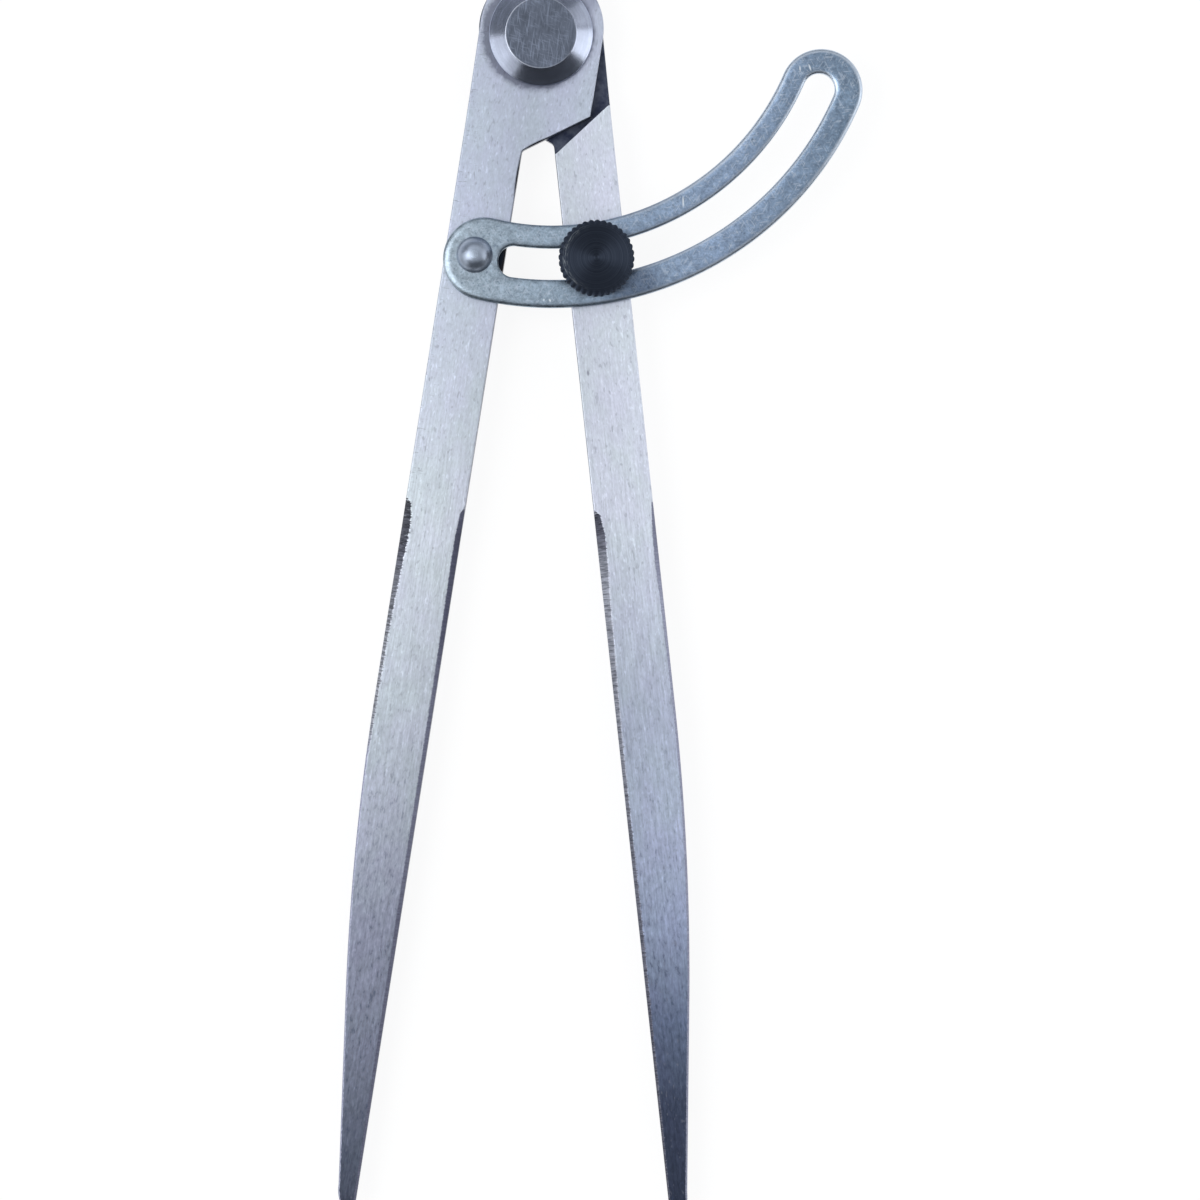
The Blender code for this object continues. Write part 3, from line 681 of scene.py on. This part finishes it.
def eased(corners, round_off):
    """Profile through the corners, each cut back by round_off and bridged by a parabola, with a holding point
    before and after; the first and last corners stay as they are."""
    corners = np.array(corners, float)
    share = np.linspace(0, 1, 5)[:, None]
    rows = [corners[:1]]
    for before, corner, after in zip(corners, corners[1:], corners[2:]):
        back, on = before - corner, after - corner
        cut = min(round_off, 0.3 * np.linalg.norm(back), 0.3 * np.linalg.norm(on))
        back, on = back / np.linalg.norm(back) * cut, on / np.linalg.norm(on) * cut
        bridge = corner + back * (1 - share) ** 2 + on * share**2
        rows.append(np.concatenate(([corner + 1.4 * back], bridge, [corner + 1.4 * on])))
    return np.concatenate(rows + [corners[-1:]])


pivot_head = turned(
    "pivot_rivet_steel",
    eased(
        (
            (0, CONE_BASE + CONE_HEIGHT),
            (CONE_FLAT, CONE_BASE + CONE_HEIGHT),
            (CONE_RADIUS, CONE_BASE + CONE_RIM),
            (CONE_RADIUS, CONE_BASE),
            (PIVOT_SHANK, CONE_BASE),
            (PIVOT_SHANK, SINK_DEPTH),
            (PIVOT_TAIL, 0),
            (0, 0),
        ),
        CORNER_EASE,
    ),
    steps=180,
)
rear_washer = turned(
    "pivot_washer_steel",
    eased(
        (
            (PIVOT_HOLE_RADIUS, WASHER_SEAM),
            (PIVOT_HOLE_RADIUS, CONE_HEIGHT),
            (CONE_RADIUS, CONE_HEIGHT),
            (CONE_RADIUS, CONE_HEIGHT - CONE_RIM),
            (CONE_FLAT, 0),
            (WASHER_SINK, 0),
            (PIVOT_HOLE_RADIUS, SINK_DEPTH),
            (PIVOT_HOLE_RADIUS, WASHER_SEAM),
        ),
        CORNER_EASE,
    ),
    steps=180,
)


def turned_steel(name, centre, face_tone, cone_tone, flat_radius, slope_dull, corner_highlight):
    """Turned steel: fine rings round the axis over the slopes, a duller face crossed by scratches, and a
    painted highlight along the corner between them, most on the left."""
    material, tree, shader, coordinates = new_finish(name, slope_dull)
    place, (x, _, z), radius = from_axis(tree, coordinates, centre)
    rings = grain(tree, add(tree, "CombineXYZ", {0: radius, 1: z})[0], 4200, 4200, 3.0)
    clouds = grain(tree, place, 420, 260, 3.0)
    scratches = grain(tree, turned_by(tree, place, math.radians(8)), 2900, 420, 4.0)
    face = shaded(tree, (*face_tone, 1), varied(tree, scratches, 0.80, 1.25))
    brighter = tuple(1.8 * part for part in face_tone) + (1,)
    for turn, length, depth in ((6, 130, 0.75), (-14, 200, 0.55), (-78, 300, 0.45), (-60, 380, 0.40)):
        lines = grain(tree, turned_by(tree, place, math.radians(turn)), 3200, length, 1.0)
        face = mixed(tree, spread(tree, lines, 0.61, 0.67, 0.0, depth), face, brighter)
    face = shaded(tree, face, varied(tree, clouds, 0.85, 1.15))
    slope = shaded(tree, (*cone_tone, 1), varied(tree, rings, 0.93, 1.05))
    slope = shaded(tree, slope, varied(tree, clouds, 0.90, 1.08))
    slope = shaded(tree, slope, spread(tree, radius, flat_radius, 1.43 * flat_radius, 0.88, 1.06))
    on_slope = spread(tree, radius, flat_radius - 0.00004, flat_radius + 0.00006)
    colour = mixed(tree, on_slope, face, slope)
    # Painted highlight on the corner between face and slope, strongest on the left
    from_corner = combined(tree, combined(tree, radius, flat_radius, "SUBTRACT"), 0, "ABSOLUTE")
    most_left = spread(tree, x, 0.006, -0.006, 0.08, 0.42)
    worn = combined(tree, spread(tree, from_corner, 0.00020, 0.00008), most_left, "MULTIPLY")
    colour = mixed(tree, combined(tree, worn, corner_highlight, "MULTIPLY"), colour, (0.62, 0.66, 0.76, 1))
    tree.links.new(colour, shader.inputs["Base Color"])
    tree.links.new(spread(tree, on_slope, 0, 1, 0.42, slope_dull), shader.inputs["Roughness"])
    relief = combined(tree, combined(tree, rings, on_slope, "MULTIPLY"), 0.6, "MULTIPLY")
    relief = combined(tree, relief, combined(tree, scratches, 0.5, "MULTIPLY"))
    bump = add(tree, "Bump", {"Strength": 0.5, "Distance": 0.00003, "Height": relief})[0]
    tree.links.new(bump, shader.inputs["Normal"])
    return material


pivot_steel = turned_steel("turned_steel_pivot", (0, 0), FACE_TONE, CONE_TONE, CONE_FLAT, 0.22, 1.0)
for piece, node in ((pivot_head, "pivot_rivet"), (rear_washer, "pivot_washer")):
    piece.data.materials.append(pivot_steel)
    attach(piece, "left_leg")
    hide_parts(node)

# Wing
# A quadrant stamped from 2 mm sheet with a slot along it, its front edges rolled over by the die and its rear
# edges barely broken, then zinc plated. It swings on the wing rivet over the left leg.
WING_REAR = 0.0094
WING_FRONT = 0.0114
WING_RADIUS = 0.05825
WING_LEAN = math.radians(14.1)
WING_CENTRE = (
    RIVET_PLACE[0] + WING_RADIUS * math.sin(WING_LEAN),
    RIVET_PLACE[1] + WING_RADIUS * math.cos(WING_LEAN),
)
WING_START = math.radians(-12.1)
WING_END = math.radians(68.0)
SLOT_START = math.radians(-6.3)
WING_INNER = 0.050265
WING_OUTER = 0.066725
SLOT_INNER = 0.054865
SLOT_OUTER = 0.061125
DIE_ROLL = (0.00165, 0.00066)
SLOT_ROLL = (0.00145, 0.00058)
REAR_BREAK = (0.00022, 0.00022)


def bent_bar(inner, outer, start, end):
    """Outline of a bar bent about the wing's centre, with full round ends on its middle line, as (x, y) rows.
    Angles count anticlockwise from straight down."""
    middle, half = (inner + outer) / 2, (outer - inner) / 2

    def swept(centre, radius, first, last, steps):
        turn = np.linspace(first, last, steps, endpoint=False)
        return np.stack((centre[0] + radius * np.sin(turn), centre[1] - radius * np.cos(turn)), axis=1)

    far = swept(WING_CENTRE, middle, end, end + 1, 1)[0]
    near = swept(WING_CENTRE, middle, start, start + 1, 1)[0]
    return np.concatenate(
        (
            swept(WING_CENTRE, outer, start, end, 130),
            swept(far, half, end, end + math.pi, 40),
            swept(WING_CENTRE, inner, end, start, 130),
            swept(near, half, start + math.pi, start + math.tau, 40),
        )
    )


def rolled(roll):
    """A rounded edge as a quarter of an ellipse: how far each point lies in from the side and down from the
    face, from the side to the face, with a holding point before and after."""
    turn = np.linspace(0, math.pi / 2, 13)
    from_side = np.concatenate(([0], roll[0] * (1 - np.cos(turn)), [1.15 * roll[0]]))
    from_face = np.concatenate(([1.15 * roll[1]], roll[1] * (1 - np.sin(turn)), [0]))
    return from_side, from_face


def wing_rings():
    """Rings round the rail between the wing's outline and its slot, one at each pair of matched points."""
    outline = bent_bar(WING_INNER, WING_OUTER, WING_START, WING_END)
    slot = bent_bar(SLOT_INNER, SLOT_OUTER, SLOT_START, WING_END)
    parts = []
    edges = (
        (outline, 1, DIE_ROLL, WING_FRONT, -1, 1),
        (slot, -1, SLOT_ROLL, WING_FRONT, -1, -1),
        (slot, -1, REAR_BREAK, WING_REAR, 1, 1),
        (outline, 1, REAR_BREAK, WING_REAR, 1, -1),
    )
    for edge, side, roll, face, off_face, order in edges:
        run = np.roll(edge, -1, axis=0) - np.roll(edge, 1, axis=0)
        into = side * np.stack((-run[:, 1], run[:, 0]), axis=1) / np.linalg.norm(run, axis=1)[:, None]
        from_side, from_face = rolled(roll)
        place = edge[:, None, :] + into[:, None, :] * from_side[None, :, None]
        height = np.broadcast_to(face + off_face * from_face, place.shape[:2])
        parts.append(np.concatenate((place, height[..., None]), axis=2)[:, ::order])
    return np.concatenate(parts, axis=1)


wing = new_piece("wing_zinc", wing_rings(), closed_rows=True)
drill(wing, plain_hole(RIVET_HOLE_RADIUS, 0.0080, 0.0130), RIVET_PLACE)


def zinc_plate(name, scratches):
    """Blue-grey zinc plate: a fine speckle, small bright and dark grains, cloudy patches, hair scratches in
    all directions, a few deeper scratches, rolled edges lighter towards the free end, partly rubbed bright and
    partly a painted highlight, and a painted shadow of the thumb screw's knob beside it."""
    material, tree, shader, coordinates = new_finish(name, 0.32)
    aside, _, height = add(tree, "SeparateXYZ", {0: coordinates})[:3]
    speckle = grain(tree, coordinates, 2300, 2300, 4.0)
    clouds = grain(tree, coordinates, 190, 190, 4.0)
    patches = grain(tree, coordinates, 700, 700, 3.0)
    grains = grain(tree, coordinates, 1300, 1300, 2.0)
    zinc = graded(tree, spread(tree, aside, -0.018, 0.062), ZINC_TONES)
    zinc = shaded(tree, zinc, spread(tree, clouds, 0.35, 0.65, 0.90, 1.10))
    zinc = shaded(tree, zinc, varied(tree, speckle, 0.78, 1.22))
    zinc = shaded(tree, zinc, spread(tree, patches, 0.32, 0.68, 0.80, 1.20))
    zinc = mixed(tree, spread(tree, grains, 0.64, 0.72, 0.0, 0.50), zinc, (0.55, 0.62, 0.70, 1))
    zinc = mixed(tree, spread(tree, grains, 0.38, 0.30, 0.0, 0.50), zinc, (0.11, 0.15, 0.21, 1))
    for turn in (0.5, 1.4, 2.6):
        hairs = grain(tree, turned_by(tree, coordinates, turn), 3000, 420, 1.0)
        zinc = mixed(tree, spread(tree, hairs, 0.62, 0.70, 0.0, 0.42), zinc, (0.50, 0.57, 0.66, 1))
    # Painted shadow of the thumb screw's knob, cast on the plate beside it
    knob_shadow = mark(tree, coordinates, KNOB_SHADOW_PLACE, 0.0052, 0.0074, math.radians(-70))
    zinc = mixed(tree, knob_shadow, zinc, shaded(tree, zinc, (0.52, 0.53, 0.56, 1)))
    # Rolled front edges lightened towards the free end: partly rubbed bright, partly a painted highlight
    off_front = spread(tree, height, WING_FRONT - 0.00007, WING_FRONT - 0.00021)
    rubbed_and_highlight = combined(tree, off_front, spread(tree, aside, 0.004, 0.034, 0.0, 0.88), "MULTIPLY")
    zinc = mixed(tree, rubbed_and_highlight, zinc, (0.62, 0.70, 0.80, 1))
    for centre, across, along, turn in scratches:
        scratch = mark(tree, coordinates, centre, across, along, turn)
        zinc = mixed(tree, combined(tree, scratch, 0.8, "MULTIPLY"), zinc, (0.78, 0.84, 0.88, 1))
    tree.links.new(zinc, shader.inputs["Base Color"])
    tree.links.new(varied(tree, speckle, 0.28, 0.38), shader.inputs["Roughness"])
    bump = add(tree, "Bump", {"Strength": 0.40, "Distance": 0.00003, "Height": speckle})[0]
    tree.links.new(bump, shader.inputs["Normal"])
    return material


ZINC_TONES = (
    (0.0, (0.34, 0.41, 0.47)),
    (0.3, (0.285, 0.365, 0.450)),
    (0.45, (0.262, 0.345, 0.468)),
    (0.7, (0.252, 0.334, 0.466)),
    (1.0, (0.195, 0.268, 0.363)),
)
# Middle of the painted shadow beside the thumb screw's knob
KNOB_SHADOW_PLACE = (0.01990, -0.05020, WING_FRONT)
WING_SCRATCHES = (
    ((0.05188, -0.00583, WING_FRONT), 0.00018, 0.0007, 0.1),
    ((0.05387, -0.00563, WING_FRONT), 0.00022, 0.0009, 0.35),
    ((0.02921, -0.03300, WING_FRONT), 0.00020, 0.0014, 0.05),
    ((0.00310, -0.05334, WING_FRONT), 0.00025, 0.0004, 0.5),
    ((0.00190, -0.05325, WING_FRONT), 0.00018, 0.0003, 0.0),
)
wing.data.materials.append(zinc_plate("zinc_plate", WING_SCRATCHES))
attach(wing, "wing")
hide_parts("wing")

# Wing rivet
# A small steel rivet with a domed head on the wing, its tail spread in the left leg's rear and ground flush.
DOME_BASE = 0.0117
DOME_RADIUS = 0.0036
DOME_HEIGHT = 0.0022
DOME_CROWN = 0.0008
RIVET_SHANK = 0.0016
RIVET_TAIL = 0.0026
CROWN_TONE = (0.35, 0.405, 0.485)
DOME_TONE = (0.36, 0.415, 0.505)


def dome_profile():
    """A slice of a sphere of the dome's radius and height, its rim rounded under, then the shank and tail."""
    sphere = (DOME_RADIUS**2 + DOME_HEIGHT**2) / (2 * DOME_HEIGHT)
    turn = np.linspace(0, math.asin(DOME_RADIUS / sphere) * 0.97, 22)
    top = DOME_BASE + DOME_HEIGHT - sphere
    dome = np.stack((sphere * np.sin(turn), top + sphere * np.cos(turn)), axis=1)
    rim = ((DOME_RADIUS, DOME_BASE + 0.00004), (DOME_RADIUS - 0.00008, DOME_BASE), (RIVET_SHANK, DOME_BASE))
    tail = ((RIVET_SHANK, 0.0043), (RIVET_TAIL, 0.0031), (0, 0.0031))
    return np.concatenate((dome, rim, tail))


wing_rivet = turned("wing_rivet_steel", dome_profile(), RIVET_PLACE, 96)
dome_steel = turned_steel("turned_steel_dome", RIVET_PLACE, CROWN_TONE, DOME_TONE, DOME_CROWN, 0.36, 0.0)
wing_rivet.data.materials.append(dome_steel)
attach(wing_rivet, "left_leg")
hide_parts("wing_rivet")

# Thumb screw
# One turned piece, blacked: a straight-knurled head with its edges chamfered, a collar under it, and an M5
# shank that passes through the slot and is screwed into the right leg.
KNOB_TOP = 0.0195
KNOB_BASE = 0.0131
KNOB_RADIUS = 0.00756
KNURL_DEPTH = 0.00034
KNURL_TEETH = 36
KNOB_CHAMFER = 0.0008
RIM_RADIUS = 0.0063
COLLAR_BASE = 0.0117
COLLAR_RADIUS = 0.0056
THREAD_RADIUS = 0.0025
THREAD_DEPTH = 0.0004
THREAD_PITCH = 0.0008
SCREW_END = 0.0036


def thumb_screw_rings():
    """Rings from the middle of the face down to the end of the shank, each round the axis. Where a ring is
    knurled, its radius falls by the knurl's depth times 1 - |cos|, whose valleys are sharp and crests round;
    where it is threaded, by the thread's depth times a triangle wave of height plus angle."""
    face = KNOB_RADIUS - KNURL_DEPTH - 0.9 * KNOB_CHAMFER
    low, high = KNOB_BASE + KNOB_CHAMFER, KNOB_TOP - KNOB_CHAMFER
    head = (
        (0.00000, KNOB_TOP - 0.00010, 0),
        (0.00035, KNOB_TOP - 0.00008, 0),
        (0.00060, KNOB_TOP, 0),
        (face - 0.00020, KNOB_TOP, 0),
        (face - 0.00005, KNOB_TOP - 0.00002, 0),
        (face + 0.00004, KNOB_TOP - 0.00009, 0),
        (KNOB_RADIUS - 0.00025, high + 0.00022, 0.62),
        (KNOB_RADIUS - 0.00006, high + 0.00006, 0.93),
        (KNOB_RADIUS, high - 0.00008, 1),
        (KNOB_RADIUS, low + 0.00008, 1),
        (KNOB_RADIUS - 0.00006, low - 0.00006, 0.93),
        (KNOB_RADIUS - 0.00025, low - 0.00022, 0.62),
        (face, KNOB_BASE + 0.00002, 0),
        (face - 0.00010, KNOB_BASE, 0),
        (COLLAR_RADIUS + 0.00015, KNOB_BASE, 0),
        (COLLAR_RADIUS, KNOB_BASE - 0.00015, 0),
        (COLLAR_RADIUS, COLLAR_BASE + 0.00012, 0),
        (COLLAR_RADIUS - 0.00012, COLLAR_BASE, 0),
        (THREAD_RADIUS + 0.00010, COLLAR_BASE, 0),
        (THREAD_RADIUS, COLLAR_BASE - 0.00010, 0),
    )
    shank = np.arange(COLLAR_BASE - 0.0003, SCREW_END + 0.0004, -THREAD_PITCH / 8)
    run_in = np.clip((COLLAR_BASE - 0.0003 - shank) / THREAD_PITCH, 0, 1)
    run_out = np.clip((shank - SCREW_END - 0.0003) / THREAD_PITCH, 0.2, 1)
    head_rows = np.array(head)
    radius = np.concatenate((head_rows[:, 0], np.full(len(shank), THREAD_RADIUS), (0.0021, 0.0)))
    height = np.concatenate((head_rows[:, 1], shank, (SCREW_END, SCREW_END)))
    knurled = np.concatenate((head_rows[:, 2], np.zeros(len(shank) + 2)))
    threaded = np.concatenate((np.zeros(len(head_rows)), run_in * run_out, (0.0, 0.0)))
    turn = np.arange(0, math.tau, math.tau / (8 * KNURL_TEETH))
    tooth = 1 - np.abs(np.cos(KNURL_TEETH / 2 * turn))
    wave = np.abs((height[:, None] / THREAD_PITCH + turn / math.tau) % 1 * 2 - 1)
    size = radius[:, None] - KNURL_DEPTH * knurled[:, None] * tooth - THREAD_DEPTH * threaded[:, None] * wave
    x, y = SCREW_PLACE[0] + size * np.cos(turn), SCREW_PLACE[1] + size * np.sin(turn)
    return np.stack((x, y, np.broadcast_to(height[:, None], x.shape)), axis=2)


thumb_screw = new_piece("thumb_screw_black", thumb_screw_rings())


def black_oxide(name, centre):
    """Black oxide over turned steel: close rings round the axis, a few paler, a gloss drawn out across them,
    and the rim of the face worn to grey along its left side."""
    material, tree, shader, coordinates = new_finish(name, 0.62)
    shader.inputs["Anisotropic"].default_value = 1.0
    shader.inputs["Anisotropic Rotation"].default_value = 0.25
    round_axis = add(tree, "Tangent", {}, direction_type="RADIAL", axis="Z")[0]
    tree.links.new(round_axis, shader.inputs["Tangent"])
    _, (x, y, z), radius = from_axis(tree, coordinates, centre)
    rings = grain(tree, add(tree, "CombineXYZ", {0: radius})[0], 3600, 3600, 3.0)
    black = mixed(tree, spread(tree, rings, 0.35, 0.68), (0.034, 0.043, 0.066, 1), (0.062, 0.078, 0.110, 1))
    from_left = combined(tree, y, combined(tree, x, -1, "MULTIPLY"), "ARCTAN2")
    round_rim = combined(tree, from_left, RIM_RADIUS, "MULTIPLY")
    along_rim = add(tree, "CombineXYZ", {0: radius, 1: round_rim})[0]
    worn = spread(tree, grain(tree, along_rim, 6500, 650, 3.0), 0.50, 0.60, 0.0, 0.9)
    for part, outside, inside in (
        (radius, 0.0056, 0.0062),
        (radius, 0.0068, 0.0066),
        (x, -0.0012, -0.0050),
        (z, KNOB_TOP - 0.0006, KNOB_TOP - 0.0002),
    ):
        worn = combined(tree, worn, spread(tree, part, outside, inside), "MULTIPLY")
    colour = mixed(tree, worn, black, (0.26, 0.29, 0.32, 1))
    tree.links.new(colour, shader.inputs["Base Color"])
    bump = add(tree, "Bump", {"Strength": 0.6, "Distance": 0.00005, "Height": rings})[0]
    tree.links.new(bump, shader.inputs["Normal"])
    return material


thumb_screw.data.materials.append(black_oxide("black_oxide", SCREW_PLACE))
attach(thumb_screw, "thumb_screw")
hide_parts("thumb_screw")

# Floor
# A white sheet under the divider that shows pure white and keeps a soft shadow close round the object.
FLOOR_HALF = 2.5
FLOOR_HEIGHT = -0.0001
FLOOR_CORNERS = ((-1, -1), (1, -1), (1, 1), (-1, 1))
floor_points = [(x * FLOOR_HALF, y * FLOOR_HALF, FLOOR_HEIGHT) for x, y in FLOOR_CORNERS]
floor_mesh = bpy.data.meshes.new("floor")
floor_mesh.from_pydata(floor_points, [], [(0, 1, 2, 3)])
floor = bpy.data.objects.new("floor", floor_mesh)
bpy.context.scene.collection.objects.link(floor)


def shown_rays(tree, names):
    """1 for the rays that the camera, and a mirror or glass in its place, sees the background by."""
    rays = add(tree, "LightPath", {})
    total = rays[names[0]]
    for name in names[1:]:
        total = combined(tree, total, rays[name])
    return spread(tree, total, 0, 1)


floor_material = bpy.data.materials.new("white_floor")
floor_material.use_nodes = True
floor_tree = floor_material.node_tree
floor_tree.nodes.clear()
paper = add(floor_tree, "BsdfDiffuse", {"Color": (0.85, 0.85, 0.85, 1)})[0]
white = add(floor_tree, "Emission", {"Color": (1, 1, 1, 1), "Strength": 1.10})[0]
shown = shown_rays(floor_tree, ("Is Camera Ray", "Is Glossy Ray", "Is Transmission Ray"))
share = combined(floor_tree, shown, 0.80, "MULTIPLY")
sheet = add(floor_tree, "MixShader", {0: share, 1: paper, 2: white})[0]
add(floor_tree, "OutputMaterial", {"Surface": sheet})
floor_mesh.materials.append(floor_material)

# Light
# A wide soft box overhead, behind the camera, and smaller ones round the left, far and right sides, low down
# and half-way up. The room is a cool grey, dimmer towards the horizon and on the near side, with a pale band
# low down beyond the divider; the background is white.


def soft_box(name, azimuth, elevation, distance, width, height, brightness):
    """Area lamp aimed at the object from an azimuth, 0 along +X and 90 along +Y. Its power is pi times its
    area times the brightness at which it shows."""
    lamp = bpy.data.lights.new(name, "AREA")
    lamp.shape = "RECTANGLE"
    lamp.size, lamp.size_y = width, height
    lamp.energy = math.pi * width * height * brightness
    box = bpy.data.objects.new(name, lamp)
    a, e = math.radians(azimuth), math.radians(elevation)
    away = Vector((math.cos(a) * math.cos(e), math.sin(a) * math.cos(e), math.sin(e)))
    box.location = Vector((*PICTURE_CENTRE, 0)) + distance * away
    box.rotation_euler = away.to_track_quat("Z", "Y").to_euler()
    bpy.context.scene.collection.objects.link(box)


soft_box("overhead", 90, 89.9, 1.9, 2.6, 2.4, 0.59)
soft_box("left", 203, 21, 1.3, 1.30, 0.40, 1.12)
soft_box("left_high", 184, 53, 1.4, 0.95, 1.05, 2.3)
soft_box("left_beyond_high", 143, 57, 1.4, 0.60, 0.70, 0.4)
soft_box("beyond_high", 88, 44, 1.4, 2.00, 0.65, 0.65)
soft_box("right", -2, 21, 1.3, 0.85, 0.40, 1.40)
soft_box("right_beyond", 36, 21, 1.3, 0.60, 0.36, 0.55)
soft_box("right_high", 5, 37, 1.4, 1.10, 0.50, 1.3)

world = bpy.data.worlds.new("studio")
bpy.context.scene.world = world
world.use_nodes = True
world_tree = world.node_tree
world_tree.nodes.clear()
direction = world_tree.nodes.new("ShaderNodeTexCoord").outputs["Generated"]
_, depth, up = add(world_tree, "SeparateXYZ", {0: direction})[:3]
grey = spread(world_tree, up, 0.15, 0.90, 0.085, 0.24)
grey = combined(world_tree, grey, spread(world_tree, depth, -0.9, 0.2, 0.38, 1.0), "MULTIPLY")
low_down = spread(world_tree, up, 0.23, 0.16, 0.0, 0.9)
pale_band = combined(world_tree, low_down, spread(world_tree, depth, -0.2, 0.2), "MULTIPLY")
grey = combined(world_tree, grey, pale_band)
room = add(world_tree, "Background", {"Color": (0.92, 0.98, 1.10, 1), "Strength": grey})[0]
backdrop = add(world_tree, "Background", {"Color": (1, 1, 1, 1), "Strength": 1.0})[0]
seen = shown_rays(world_tree, ("Is Camera Ray", "Is Transmission Ray"))
mirrored = shown_rays(world_tree, ("Is Glossy Ray",))
low = combined(world_tree, mirrored, spread(world_tree, up, 0.06, 0.02), "MULTIPLY")
behind = combined(world_tree, seen, low, "MAXIMUM")
sky = add(world_tree, "MixShader", {0: behind, 1: room, 2: backdrop})[0]
add(world_tree, "OutputWorld", {"Surface": sky})
